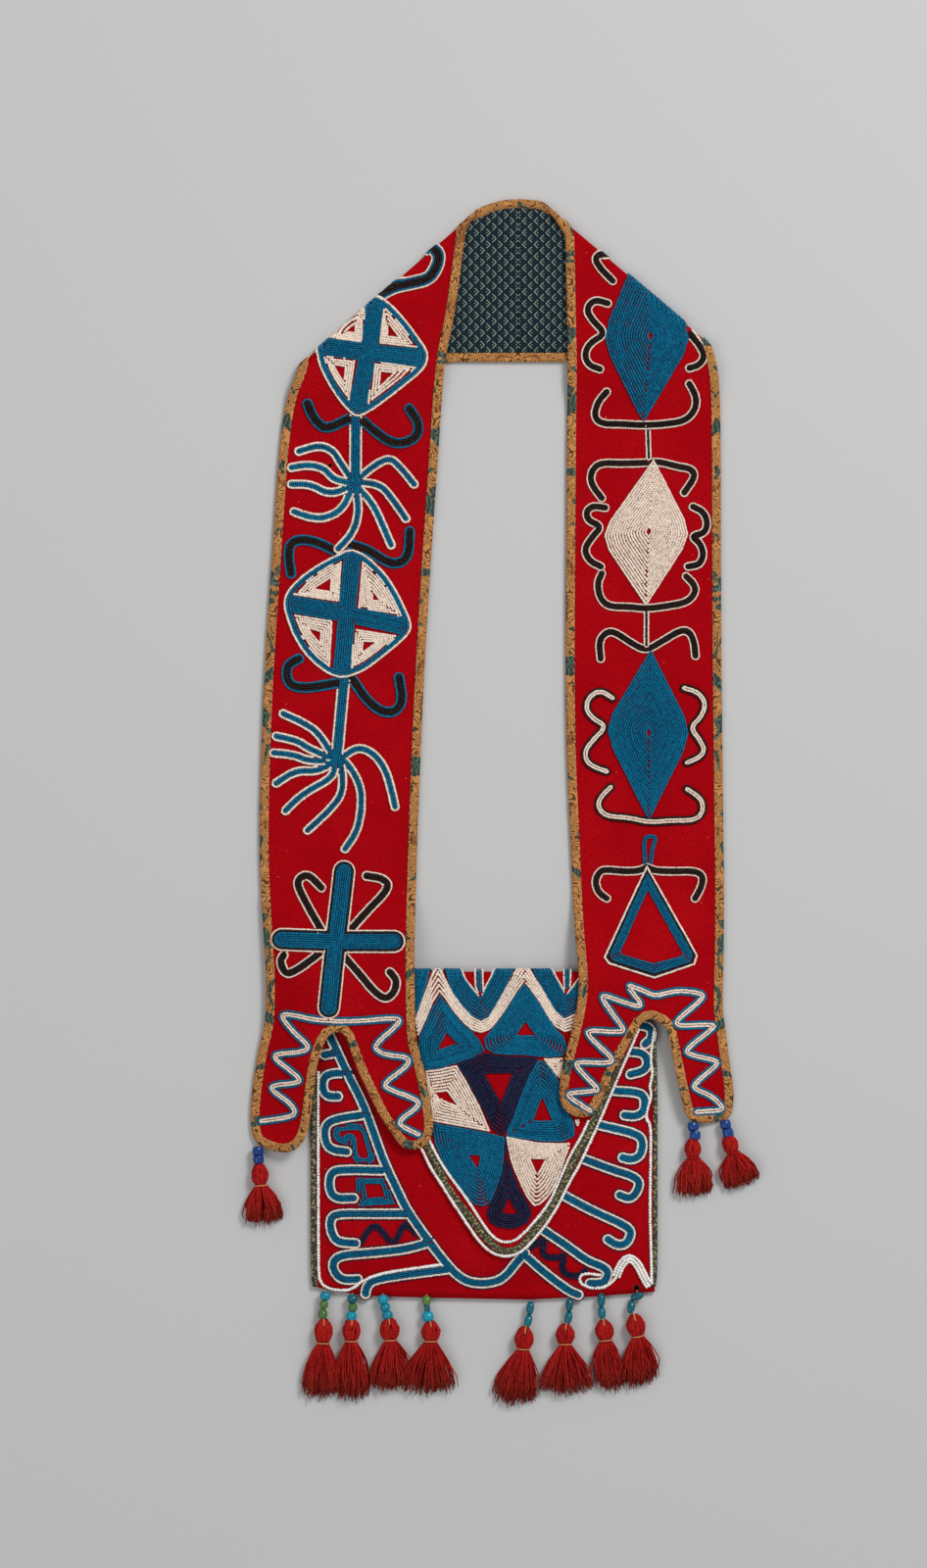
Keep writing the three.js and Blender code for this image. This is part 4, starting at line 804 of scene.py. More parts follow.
def strap_outline(on, unfold, outer, inner, fork_outer, fork_inner, arch, foot):
    """The whole edge of one half as a flat line: from the seam along the back leg's foot, over the fold,
    round both tabs, and back over the fold along the top."""
    back = unfold(on(foot))
    lead = on(rounded(outer[3:] + fork_outer[-2:0:-1], 2))
    mid = on(rounded([fork_outer[1], fork_outer[0], fork_inner[1]], 2))
    tail = on(rounded(fork_inner[1:] + inner[-2:0:-1], 2))
    top = unfold(on([arch[-2], arch[-3], arch[0], (SEAM, BAND_TOP)]))
    return stepped(rounded(np.concatenate([back, lead, mid, tail, top]), 1), STRIP_STEP)


for side, (on, place, unfold, *outlines, _) in HALVES.items():
    line, inward = strap_outline(on, unfold, *outlines), 1 if side == "left" else -1
    pieces[f"strap_{side}_binding"] = strip(
        f"strap_{side}_binding_strip", line, STRAP_SECTION, place, binding_print, inward,
        f"strap_{side}_binding",
    )

# %% [markdown]
# ## The pouch and its flap
#
# The pouch is a back panel and a filled front panel, bound at the sides. The flap starts a little way
# down the back, rolls over the top edge and ends in a V. All are ruled grids: the panels between their
# top and their hem, the flap between its two edges.

# %% Panels
PANEL_TUCK, PANEL_COLUMNS, PANEL_ROWS = 3, 44, 36
CORNER_DROP, HALF_POUCH = 3, (POUCH_RIGHT - POUCH_LEFT) / 2
panel_across = np.linspace(POUCH_LEFT + PANEL_TUCK, POUCH_RIGHT - PANEL_TUCK, PANEL_COLUMNS)
panel_foot = np.interp(panel_across, HEM[:, 0], HEM[:, 1])
panel_top = POUCH_TOP + CORNER_DROP * ((panel_across - POUCH_MIDDLE) / HALF_POUCH) ** 8
top_line, foot_line = np.stack([panel_across, panel_top], 1), np.stack([panel_across, panel_foot], 1)
panel = on_pouch(ruled(top_line, foot_line, np.linspace(0, 1, PANEL_ROWS)))


def back_place(flat, height):
    """The pouch's back: flat on the table."""
    return np.concatenate([flat, np.broadcast_to(height, flat.shape[:-1])[..., None]], -1)


pieces["pouch_front"] = cloth(
    "pouch_front_wool", [panel], pouch_place, 0, CLOTH, wool, "pouch_front_panel"
)
pieces["pouch_back"] = cloth(
    "pouch_back_wool", [panel], back_place, 0, CLOTH, wool, "pouch_back_panel"
)

# %% Side bindings
SIDE_WIDTH = {"left": 3.2, "right": 2.6}
for side, edge, inward in (("left", POUCH_LEFT, 1), ("right", POUCH_RIGHT, -1)):
    width = SIDE_WIDTH[side]
    section = [
        (width, 2.75), (width, 3.25), (width / 2, 3.4), (0.5, 3.1), (0, 1.7), (0.5, 0.05), (width, 0),
        (0.9, 0.45), (0.7, 1.7), (0.9, 2.6),
    ]
    route = [(edge + 3 * inward, 1047), (edge, 1080), (edge, 1200), (edge, 1300), (edge + 2 * inward, 1312)]
    line = stepped(on_pouch(rounded(route)), STRIP_STEP)
    pieces[f"pouch_{side}_edge"] = strip(
        f"pouch_{side}_edge_strip", line, section, back_place, dark_print, inward,
        f"pouch_{side}_binding",
    )

# %% Flap
FLAP_LEFT = [
    (350, 900), (350, 1020), (378, 1080), (405, 1124), (431.6, 1168), (448, 1208), (463, 1229),
    (484, 1255), (495, 1269), (505, 1278), (517, 1281),
]
FLAP_RIGHT = [
    (656, 900), (656, 996), (652, 1046), (639, 1076), (627, 1105), (614, 1136), (601, 1166), (589, 1187),
    (575, 1221), (547, 1261), (535, 1275), (526, 1280), (517, 1281),
]
FLAP_ROWS, FLAP_COLUMNS, FLAP_TIP = 76, 36, 1280.3
flat_top = FLAP_FOLD + (FLAP_RADIUS - FLAP_BEND - FLAP_BACK_HEM) / UNIT_Y
flap_rows = flat_top + (FLAP_TIP - flat_top) * (1 - (1 - np.linspace(0, 1, FLAP_ROWS)) ** 1.5)
flap_grid = on_pouch(
    ruled(edge_at(flap_rows, FLAP_LEFT), edge_at(flap_rows, FLAP_RIGHT), np.linspace(0, 1, FLAP_COLUMNS))
)
pieces["flap"] = cloth("flap_wool", [flap_grid], flap_place, 0, CLOTH, wool, "flap_cloth")

# %% [markdown]
# ## Seed beads
#
# The beadwork is sewn down row by row. A hook or stem is a stroke: rows side by side along one line, and
# the outer rows turn round its tip. A filled figure is a field: rings of rows from its outline in to the
# patch of wool that was left bare. Each row is walked in steps of one bead. A bead is left out where
# another one already lies, as a sewer would leave it out, so figures may be drawn over each other.

# %% Bead sizes
BEAD_ROW, BEAD_STEP, BEAD_RADIUS = 1.42, 1.36, 0.74
EDGE_BEAD, FIELD_BEAD, COMB_BEAD, HOOK_BEAD, RIM_BEAD, FINE_BEAD = 1.25, 1.02, 0.9, 0.8, 0.82, 0.5
CLEARANCE, GAP = 0.68, 0.14
BEAD_LIFT = 0.62
WALK, LEAD_IN, TIP_STEPS = 0.4, 2.0, 12
ROW_TONE, BEAD_TONE = 0.12, 0.16
CARRIERS = {
    "left": (on_left, left_place, WOOL_TOP + BEAD_LIFT),
    "right": (on_right, right_place, WOOL_TOP + BEAD_LIFT),
    "pouch": (on_pouch, pouch_place, CLOTH + BEAD_LIFT),
    "flap": (on_pouch, flap_place, CLOTH + BEAD_LIFT),
}
# A row named "outline" is a thin row of navy beads along white rows: partly navy beads, partly painted
# shadow, the dark line of shade at the beadwork's edge.
THINNER = {"outline": FINE_BEAD, "rim": RIM_BEAD, "gap": GAP}
SHOWN_AS = {"outline": "navy", "rim": "white"}
sewn = {}
taken = {name: {} for name in CARRIERS}
print("a bead row is", BEAD_ROW, "mm wide, and a bead", BEAD_STEP, "mm long")

# %% One row


def count_sewn():
    """How many beads have been sewn so far."""
    return sum(len(beads) for beads in sewn.values())


def room_at(cells, spot, reach):
    """True where no bead lies closer than reach, looking only at the cells around the spot."""
    column, row = int(spot[0] // BEAD_STEP), int(spot[1] // BEAD_STEP)
    near = (
        other
        for across in (-1, 0, 1)
        for up in (-1, 0, 1)
        for other in cells.get((column + across, row + up), ())
    )
    return all((spot[0] - x) ** 2 + (spot[1] - y) ** 2 > reach * reach for x, y in near)


def sew(motif, carrier, line, colour, closed=False, size=1.0):
    """One row of beads along a line in millimetres. A row keeps one small change of tone."""
    spots = stepped(line, BEAD_STEP * size, closed)
    if len(spots) < 2:
        return
    ahead = heading(np.concatenate([spots[-1:], spots, spots[:1]]))[1:-1] if closed else heading(spots)
    cells, kept = taken[carrier], sewn.setdefault((motif, carrier), [])
    tone = rng.normal(0.5, ROW_TONE)
    for spot, way in zip(spots, ahead):
        if room_at(cells, spot, CLEARANCE * BEAD_STEP * size):
            cells.setdefault((int(spot[0] // BEAD_STEP), int(spot[1] // BEAD_STEP)), []).append(tuple(spot))
            kept.append((*spot, *way, size, tone, colour))


# %% Strokes


def lanes_of(motif, carrier, points, colours, start="open", soft=2, size=1.0):
    """The rows side by side along one line, as (depth from the outside, figure, row, colour, closed, bead
    size). The two rows at equal distance from the middle join round the tip. An open start is led on
    under its neighbour, and a round one closes the row. At a mitred start each row begins as far along as
    it lies off the middle, so that arms meet at a corner."""
    line = rounded(CARRIERS[carrier][0](points), soft)
    if start == "open":
        line = np.concatenate([line[:1] - LEAD_IN * heading(line)[:1], line])
    line = stepped(line, WALK)
    ahead = heading(line)
    side = quarter_turned(ahead)
    widths = np.array([size * THINNER.get(colour, 1) for colour in colours])
    reaches = (widths.sum() / 2 - np.cumsum(widths) + widths / 2) * BEAD_ROW
    turn = np.linspace(0, np.pi, TIP_STEPS)[1:-1, None]
    count = len(colours)
    middle = colours[count // 2]
    lanes = [(count // 2, motif, line, middle, False, size)] if count % 2 and middle != "gap" else []
    for rank, reach in enumerate(reaches[: count // 2]):
        skip = int(reach / WALK) if start == "mitre" else 0
        one, two = (line + side * reach)[skip:], (line - side * reach)[skip:][::-1]
        tip = line[-1] + reach * (np.cos(turn) * side[-1] + np.sin(turn) * ahead[-1])
        tail = line[0] - reach * (np.cos(turn) * side[0] + np.sin(turn) * ahead[0])
        row = np.concatenate([one, tip, two, tail] if start == "round" else [one, tip, two])
        lanes.append((rank, motif, row, colours[rank], start == "round", widths[rank]))
    return lanes


def strokes(carrier, lanes):
    """Sews the rows of strokes that join, the innermost first, so that the outer rows stop where two strokes
    meet and go round them as one outline."""
    for _, motif, row, colour, closed, size in sorted(lanes, key=lambda lane: -lane[0]):
        sew(motif, carrier, row, colour, closed, size)


# %% Fields


def breadth(corners):
    """Twice a polygon's area over its girth: the radius of the circle inside a triangle."""
    ahead = np.roll(corners, -1, 0)
    area = abs(np.sum(corners[:, 0] * ahead[:, 1] - corners[:, 1] * ahead[:, 0])) / 2
    girth = np.sum(np.linalg.norm(ahead - corners, axis=1))
    return 2 * area / max(girth, 1e-6)


def field(motif, carrier, outer, inner, colours, size=1.0, limit=99):
    """Rings of rows from an outline in to a bare patch with as many corners, or to one point."""
    outside = CARRIERS[carrier][0](outer)
    inside = np.broadcast_to(CARRIERS[carrier][0](inner), outside.shape)
    rows = max(int(round((breadth(outside) - breadth(inside)) / (BEAD_ROW * size))), 1)
    for row in range(min(rows, limit)):
        ring = outside + (inside - outside) * (row + 0.5) / rows
        sew(motif, carrier, ring, colours[min(row, len(colours) - 1)], True, size)


def shrunk(outline, heart, share):
    """The same outline drawn in towards its heart."""
    return heart + share * (np.asarray(outline, float) - heart)


def facing(sides, corners):
    """An outline given side by side, and for each of its points the one as far along the facing side of a
    patch with as many corners."""
    outer, inner = [], []
    for points, here, ahead in zip(sides, np.asarray(corners, float), np.roll(corners, -1, 0)):
        line = np.asarray(points, float)
        travel = travelled(line)
        outer.append(line[:-1])
        inner.append(here + (travel[:-1, None] / travel[-1]) * (ahead - here))
    return np.concatenate(outer), np.concatenate(inner)


def between(motif, carrier, first, last, colour, count):
    """Rows that change evenly from one line to another."""
    first, last = (CARRIERS[carrier][0](points) for points in (first, last))
    for share in (np.arange(count) + 0.5) / count:
        sew(motif, carrier, first + share * (last - first), colour, size=FIELD_BEAD)


def single(motif, carrier, points, colour="bright", size=EDGE_BEAD, soft=2):
    """One row along a drawn line, rounded soft times."""
    sew(motif, carrier, rounded(CARRIERS[carrier][0](points), soft), colour, size=size)


# %% [markdown]
# ### The left half: two wheels, two hands, a star and zigzags
#
# The sewer drew these figures by hand, so each one is a list of lines in pattern units. The fingers of a
# hand all start in one palm, where their rows run together.

# %% Wheels
STEM = ["white", *["blue"] * 4, "white"]
CURL = ["rim", "blue", "black", "black", "black", "blue", "rim"]
HOOK = ["blue", "black", "black", "black", "blue"]
FINGER = ["white", "blue", "blue", "white"]
STAR_HOOK = ["rim", "black", "black", "black", "rim"]
ZIGZAG = ["blue", "white", "gap", "white", "blue"]
ARM = ["blue"] * 8
PETAL = ["rim", "black", *["blue"] * 7, "black", "rim"]
RIM_WIDTH, RIM_POINTS = 6.8, 5


def to_rim(outline, centre, points):
    """Points moved along the ray from the centre to the inside of a rim, whose radius is read off by the
    angle."""
    spokes, rays = np.asarray(outline, float) - centre, np.asarray(points, float) - centre
    angles, turns = (np.arctan2(group[:, 1], group[:, 0]) for group in (spokes, rays))
    radii = np.interp(turns, angles, np.linalg.norm(spokes, axis=1), period=2 * np.pi) - RIM_WIDTH
    return centre + radii[:, None] * np.stack([np.cos(turns), np.sin(turns)], 1)


def wheel(motif, outline, centre, arms, sectors):
    """A rimmed wheel: three rings, four arms that meet at the centre, and four white fields between them. A
    field's first side lies along the rim."""
    field(motif, "left", rounded(outline, 1, closed=True), centre, ["rim", "blue", "blue"], limit=3)
    spokes = [lanes_of(motif, "left", [centre, end], ARM, "mitre", soft=0, size=COMB_BEAD) for end in arms]
    strokes("left", sum(spokes, []))
    shares = np.linspace(0, 1, RIM_POINTS)[:, None]
    for outer, inner in sectors:
        (start, end, corner), (first, last, heart) = np.array(outer, float), np.array(inner, float)
        along_rim = to_rim(outline, centre, start + shares * (end - start))
        patch = [*(first + shares * (last - first)), heart]
        field(motif, "left", [*along_rim, corner], patch, ["white"], FIELD_BEAD)


wheel(
    "left_upper_wheel",
    [
        (387, 302), (396, 307), (407, 318), (418, 331), (428, 345), (437, 358), (437.5, 369), (431, 380),
        (411, 396), (390, 412), (377, 421), (364, 427), (354, 419), (344, 407), (332, 388), (324, 370),
        (322.5, 356), (327, 341), (341, 322), (356, 309), (372, 302),
    ],
    (376, 360), [(383, 314), (365, 412), (336, 355), (425, 365)],
    [
        ([(373.5, 314), (336, 346), (371.6, 350)], [(362, 332), (353, 339), (362, 339)]),
        ([(391, 314), (427, 356), (387, 351)], [(396, 331), (406, 344), (396, 343)]),
        ([(356, 413), (328.5, 363), (363, 366)], [(350.5, 388.5), (341, 373), (352, 375)]),
        ([(427, 375), (374, 416), (380, 368)], [(400, 381), (388, 394), (389, 380)]),
    ],
)
wheel(
    "left_lower_wheel",
    [
        (357, 559), (369, 563), (381, 572), (394, 585), (404, 600), (412, 616), (418, 629), (420.5, 638),
        (418.5, 646), (411, 654), (398, 665), (383, 677), (370, 686), (350, 693), (336, 689), (322, 679),
        (310, 667), (300, 651), (293, 634), (288.5, 618), (290.5, 606), (299, 595), (310, 585),
        (325, 575), (342, 566),
    ],
    (354, 626), [(359, 573), (349, 680), (302, 617), (407, 638)],
    [
        ([(349, 571), (302, 608), (346, 614)], [(337.5, 590), (321, 600.5), (337, 603)]),
        ([(369, 573), (409, 630), (365, 623)], [(380, 603.5), (387, 612), (381, 612)]),
        ([(337, 681), (300, 626), (339.5, 633)], [(326, 655), (315.5, 641.5), (327, 645)]),
        ([(406, 648), (358, 684), (360, 641)], [(383, 655), (370, 665), (371, 655)]),
    ],
)

# %% Strokes of the left half
LEFT_STROKES = {
    "left_upper_wheel": [
        (CURL, [
            (391, 299), (402, 293), (421, 289), (438, 285), (446, 272), (448, 260), (442, 254),
            (437.6, 254.6),
        ]),
        (HOOK, [(354, 428), (335, 437), (326, 434), (318, 423), (314, 412)]),
        (HOOK, [(372, 431), (385, 442), (398, 451), (412, 452.6), (425, 446), (428, 432.5), (417.5, 417)]),
        (STEM, [(363, 427), (362.7, 486)]),
        (FINGER, [(356, 485), (346, 470), (340, 460), (326, 454), (305, 460.5)]),
        (FINGER, [(353, 492), (339, 488), (331, 477.5), (314, 474), (297.5, 477)]),
        (FINGER, [(353, 499), (335, 504), (317, 494), (297.5, 494)]),
        (FINGER, [(357, 503), (349, 520), (331, 529), (315, 527.5), (300, 522)]),
        (FINGER, [(364, 503), (366, 524), (360, 544), (345, 560)]),
        (FINGER, [(367, 487), (383, 474), (397.5, 467), (408, 476), (422.5, 494)]),
        (FINGER, [(369, 492), (389, 495), (401, 510), (414, 529)]),
        (FINGER, [(367, 499), (381, 515), (390, 535), (399, 556)]),
    ],
    "left_lower_wheel": [
        (HOOK, [(344, 563), (328, 555), (312, 550), (297.5, 552.5), (294, 565), (297, 585)]),
        (HOOK, [(360, 556), (376, 561), (392, 572), (406, 576), (417, 567), (418, 542)]),
        (HOOK, [(342, 697), (314, 702), (297.5, 700), (292, 690), (294, 677.5), (305, 672)]),
        (HOOK, [(360, 693), (370.5, 709.5), (384, 723), (395, 727), (404, 725.5), (411, 715), (407, 691)]),
        (STEM, [(351, 693), (344, 770)]),
        (FINGER, [(338, 768), (325, 748), (313, 739), (289, 728)]),
        (FINGER, [(334, 772), (314, 763), (304, 756), (282, 751)]),
        (FINGER, [(335, 776), (314, 776), (300, 770), (279.5, 768)]),
        (FINGER, [(337, 780), (322, 787), (302, 786), (282, 799)]),
        (FINGER, [(342, 783), (338, 794), (314, 807), (301, 817), (291.5, 827)]),
        (FINGER, [(349, 782), (350, 809), (336, 827), (314, 847)]),
        (FINGER, [(353, 776), (368, 800.5), (369, 825), (364, 849), (352, 866)]),
        (FINGER, [(350, 772), (365, 762), (381, 768), (393, 784.5), (399, 804.5), (403, 823)]),
    ],
    "left_star": [
        (STAR_HOOK, [(328, 948), (315, 926), (303, 903), (306, 895), (315, 892), (328, 905.5)]),
        (STAR_HOOK, [(356.5, 950), (374, 930), (398, 905.5), (391, 896), (374, 893.5)]),
        (STAR_HOOK, [(324, 974), (304, 989), (292, 994), (286, 980.5), (290, 974)]),
        (STAR_HOOK, [
            (355, 979), (369, 995), (382, 1011), (394, 1019), (403, 1011), (405, 999), (398, 991),
        ]),
    ],
    "left_zigzag": [
        (ZIGZAG, [
            (345, 1041), (324, 1040), (290.5, 1033), (288, 1038), (302, 1054), (316, 1066), (312, 1072),
            (281, 1075), (281, 1080), (295, 1090), (307, 1100), (304.5, 1104), (276.5, 1107), (279, 1113),
            (296, 1124), (303, 1134), (296, 1139), (267, 1143.5),
        ]),
        (ZIGZAG, [
            (343, 1041), (366, 1041), (408, 1037), (407, 1044), (382, 1065), (386, 1072), (399, 1076),
            (417, 1077.5), (417, 1086), (391.5, 1104), (396, 1110), (427, 1121), (427, 1128), (407, 1142),
            (410, 1148), (427, 1156),
        ]),
    ],
}
STAR_HEART, STAR_TIPS = (343, 960), ((351, 889), (336, 1027), (288, 958), (402, 960))
petals = [
    lanes_of("left_star", "left", [STAR_HEART, tip], PETAL, "mitre", soft=0, size=COMB_BEAD)
    for tip in STAR_TIPS
]
strokes("left", sum(petals, []))
PALMS = {"left_upper_wheel": (361, 493), "left_lower_wheel": (343, 774)}
PALM_RINGS, PALM_RANK = (0.4, 1.6, 2.8, 4.0), 0.5
angles = np.arange(12) * np.pi / 6
circle = np.stack([np.cos(angles), np.sin(angles)], 1)
for motif, figures in LEFT_STROKES.items():
    lanes = []
    for colours, points in figures:
        led = [PALMS[motif], *points] if colours is FINGER else points
        lanes += lanes_of(motif, "left", led, colours, size=1.0 if colours is FINGER else COMB_BEAD)
    for reach in PALM_RINGS if motif in PALMS else ():
        ring = on_left(PALMS[motif]) + reach * circle
        lanes.append((PALM_RANK, motif, ring, "blue", True, HOOK_BEAD))
    strokes("left", lanes)
print("beads after the left half", count_sewn())

# %% [markdown]
# ### The right half: three diamonds with hooks and bars, a triangle and zigzags
#
# A diamond is a field whose rings shrink to its heart. Its side corners are blunted, because a row of
# beads can't turn a sharp corner.

# %% Diamonds and triangle
LIGHT_HOOK = ["black", "white", "gap", "white", "black"]
THIN = ["rim", "black", "rim"]
TWO_BLUE = ["blue", "blue"]
BLUNT, HEART_SHARE = 0.2, 0.05
DIAMONDS = {
    "right_upper_diamond": ("blue", [(653, 250), (708, 345), (656, 432), (613, 346)], (664, 343)),
    "right_middle_diamond": ("white", [(667, 468), (706.5, 545), (659, 619), (611, 547)], (662, 542)),
    "right_lower_diamond": ("blue", [(664, 662), (707, 747.5), (662, 838), (615, 744)], (662, 747.5)),
}


def blunted(corners):
    """A diamond with its two side corners rounded off, its top and foot kept sharp."""
    top, right, foot, left = np.asarray(corners, float)
    bends = []
    for before, corner, after in ((top, right, foot), (foot, left, top)):
        first, last = corner + BLUNT * (before - corner), corner + BLUNT * (after - corner)
        bends.append([first, (first + 2 * corner + last) / 4, last])
    return np.array([top, *bends[0], foot, *bends[1]])


for motif, (colour, corners, heart) in DIAMONDS.items():
    outline = blunted(corners)
    field(motif, "right", outline, shrunk(outline, heart, HEART_SHARE), [colour])
field(
    "right_triangle", "right",
    [(660, 882), (712, 975), (709, 984), (667, 998), (620, 983), (615, 976.5)],
    [(661, 908), (696, 972), (694, 975), (666, 982), (635, 973), (633, 970)],
    ["rim", "black", "blue"], COMB_BEAD,
)

# %% Strokes of the right half
RIGHT_STROKES = {
    "right_top_hook": [
        (STAR_HOOK, [(625, 287), (620, 282), (614, 276), (607, 266), (610, 260), (620, 261)]),
    ],
    "right_upper_diamond": [
        (STAR_HOOK, [
            (620, 310), (606, 306), (598, 316), (604, 327), (618, 341), (602, 350), (596, 362),
            (600.5, 373), (612, 377),
        ]),
        (STAR_HOOK, [(705, 343), (713, 352), (719, 364), (713, 373), (703, 376)]),
        (STAR_HOOK, [
            (619, 400), (610, 410), (606, 425), (614, 432.5), (633, 432.5), (656, 434), (681, 432.5),
            (700, 429), (710, 417), (710, 404), (703, 392),
        ]),
        (THIN, [(661, 438), (662, 467)]),
    ],
    "right_middle_diamond": [
        (STAR_HOOK, [
            (614, 508), (603, 494), (603, 481), (612, 472), (634, 473), (662, 472), (673, 471),
            (691, 476), (705, 478), (709.5, 486), (698, 502.5),
        ]),
        (STAR_HOOK, [
            (617.5, 518), (605, 516), (598, 522), (600, 531), (614, 537), (605, 547), (596, 560),
            (601, 572), (613, 578),
        ]),
        (STAR_HOOK, [
            (707, 517), (717.5, 522), (722, 533), (719, 544), (705, 547), (714, 554), (718, 565),
            (714, 576), (702, 578),
        ]),
        (STAR_HOOK, [
            (614, 585), (609.5, 595), (612, 610), (621, 619), (641, 619), (659, 621), (676, 619),
            (700, 615), (709, 606), (709, 597), (700, 588),
        ]),
        (THIN, [(659.5, 624), (659.5, 658)]),
    ],
    "right_lower_diamond": [
        (STAR_HOOK, [
            (613, 672), (611, 654), (619, 644.5), (628, 645), (644, 656), (659, 664), (676, 654),
            (694, 643), (703, 644), (708, 654), (709.5, 669),
        ]),
        (LIGHT_HOOK, [
            (625, 712), (612, 704), (600, 712), (598, 724), (605, 733), (619, 741), (605, 755),
            (596, 767), (600, 780), (619, 787),
        ]),
        (LIGHT_HOOK, [
            (698, 702), (712, 706), (720, 717), (716, 731), (704, 742), (714, 755), (719, 765),
            (714, 772.5), (701, 778),
        ]),
        (LIGHT_HOOK, [
            (623, 803), (612, 814), (610, 824), (619, 833), (641, 834), (662, 839), (685, 837),
            (709, 837), (717.5, 828), (716, 815), (701, 805),
        ]),
    ],
    "right_triangle": [
        (TWO_BLUE, [(658, 879.5), (657, 855), (663, 853), (670, 854), (666, 864), (664, 879.5)]),
        (STAR_HOOK, [
            (619, 916.5), (611, 911), (607, 900), (611, 890), (617, 887), (636.5, 889), (653, 888.5),
            (660, 884), (668, 888.5), (688, 889), (707, 888.5), (716, 892), (717, 900), (713, 910),
            (709, 916.5),
        ]),
    ],
    "right_zigzag": [
        (ZIGZAG, [
            (642, 1005), (654, 1009), (667, 1015.5), (681, 1012), (695, 1010), (719, 1014), (713, 1022),
            (690, 1040), (690, 1045), (698, 1046), (728, 1045), (728, 1049), (699, 1070), (702, 1075.5),
            (732, 1082), (731, 1087), (707, 1106), (709, 1111), (726, 1118), (737, 1129), (736, 1133),
            (710.5, 1134),
        ]),
        (ZIGZAG, [
            (642, 1008), (657, 1028), (636.5, 1022), (615, 1014), (614, 1018), (624, 1033), (636.5, 1049),
            (633, 1052.5), (599.5, 1050), (599.5, 1055), (611, 1066.5), (625, 1079), (621, 1084),
            (588, 1082), (588, 1087), (598, 1098), (610, 1110), (607, 1112), (580, 1114), (580, 1117.5),
            (591, 1125), (602, 1132),
        ]),
    ],
}
# A stroke drawn with more points than these lies free at both ends, so its start is rounded too.
TIED_POINTS = 5
for motif, figures in RIGHT_STROKES.items():
    lanes = []
    for colours, points in figures:
        free = len(points) > TIED_POINTS and colours is not TWO_BLUE
        size = HOOK_BEAD if colours is STAR_HOOK else COMB_BEAD
        lanes += lanes_of(motif, "right", points, colours, "round" if free else "open", size=size)
    strokes("right", lanes)
print("beads after the right half", count_sewn())

# %% [markdown]
# ### The flap: a white zigzag between blue fields, and triangles that leave small bare patches
#
# A field of the flap is drawn side by side, and its bare patch has one corner for each side, so that
# every ring is a share of the way between them.

# %% Edge rows and zigzag of the flap
OUTER_ROW = [
    (430, 1170), (440, 1191), (450, 1206), (460, 1222), (470, 1237), (480, 1252), (490, 1266),
    (500, 1275.5), (510, 1279.5), (518, 1280), (528, 1277.5), (537, 1271), (547, 1260), (556, 1249),
    (566, 1234), (573, 1221), (580, 1206), (590, 1189), (601, 1166), (614, 1137), (627, 1106),
    (639, 1078), (651, 1050),
]
INNER_ROW = [
    (438, 1162), (443, 1172), (450, 1185), (460, 1200), (470, 1213), (480, 1227), (490, 1243),
    (500, 1257), (508, 1264), (517, 1266), (527, 1263), (535, 1256), (545, 1245), (555, 1233),
    (563, 1220), (570, 1204), (577, 1187), (584, 1173), (592, 1160), (600, 1143),
]
single("flap_edge", "flap", [(405, 1126), (418, 1148), *OUTER_ROW])
single("flap_edge", "flap", INNER_ROW)
ZIGZAG_TOP = [
    (424, 1038), (432, 1016), (440, 994), (446, 984), (452, 993), (461, 1011), (471, 1025), (481, 1036),
    (491, 1041), (499, 1036.5), (507, 1023), (516, 1007), (526, 990), (533.5, 980), (541, 990),
    (550, 1003), (558, 1016.5), (566, 1030), (575, 1038.5), (586, 1033),
]
ZIGZAG_FOOT = [
    (427, 1056), (434, 1042), (441, 1025), (448.5, 1013), (455, 1020), (463, 1032), (472, 1042.5),
    (482, 1051), (491, 1053.5), (500, 1050), (510, 1038), (519, 1025), (527, 1012), (534.5, 1002),
    (542, 1010.5), (551, 1023.5), (559, 1037), (567, 1048), (576, 1052.5), (588, 1050),
]
between("flap_zigzag", "flap", ZIGZAG_TOP, ZIGZAG_FOOT, "white", 5)
BLUE_CORNERS = [
    ("flap_top_left", [(452, 984), *ZIGZAG_TOP[5:12], (527, 984)], [
        (468, 984), (472, 994), (477, 1002), (483, 1010), (490, 1018), (494, 1011), (498, 1003),
        (502, 996), (508, 984),
    ]),
    ("flap_top_right", [(540, 984), *ZIGZAG_TOP[15:], (598, 1024)], [
        (559, 984), (564, 993), (569, 1001), (573, 1008), (577.5, 1015), (584, 1008), (592, 998),
    ]),
    ("flap_left_triangle", [(441, 984), (432, 1015), (423, 1038)], [(424, 984), (419, 1000), (412, 1020)]),
]
for motif, first, last in BLUE_CORNERS:
    between(motif, "flap", first, last, "blue", 7)
BARE_STRIPES = [
    ("flap_top_left", "rim", [(469, 984), (473, 995.5), (479, 1004), (488, 1015)]),
    ("flap_top_left", "rim", [(484.5, 984), (485, 1006), (487.5, 1012)]),
    ("flap_top_left", "rim", [(492.3, 984), (492.6, 1003), (493.5, 1011)]),
    ("flap_top_left", "rim", [(507, 984), (501, 996), (496, 1005), (492.5, 1014)]),
    ("flap_top_left", "blue", [(487.3, 984), (488, 1010)]),
    ("flap_top_left", "blue", [(489.7, 984), (490.2, 1011)]),
    ("flap_top_right", "rim", [(560, 984), (568, 998), (573, 1006), (576, 1013)]),
    ("flap_top_right", "rim", [(575, 984), (575.5, 1008)]),
    ("flap_top_right", "rim", [(582.4, 984), (581.5, 1006)]),
    ("flap_top_right", "rim", [(592, 996), (584, 1006), (579, 1013)]),
    ("flap_top_right", "blue", [(577.6, 984), (577.8, 1008)]),
    ("flap_top_right", "blue", [(580, 984), (579.6, 1006)]),
]
for motif, colour, points in BARE_STRIPES:
    single(motif, "flap", points, colour, RIM_BEAD, soft=1)

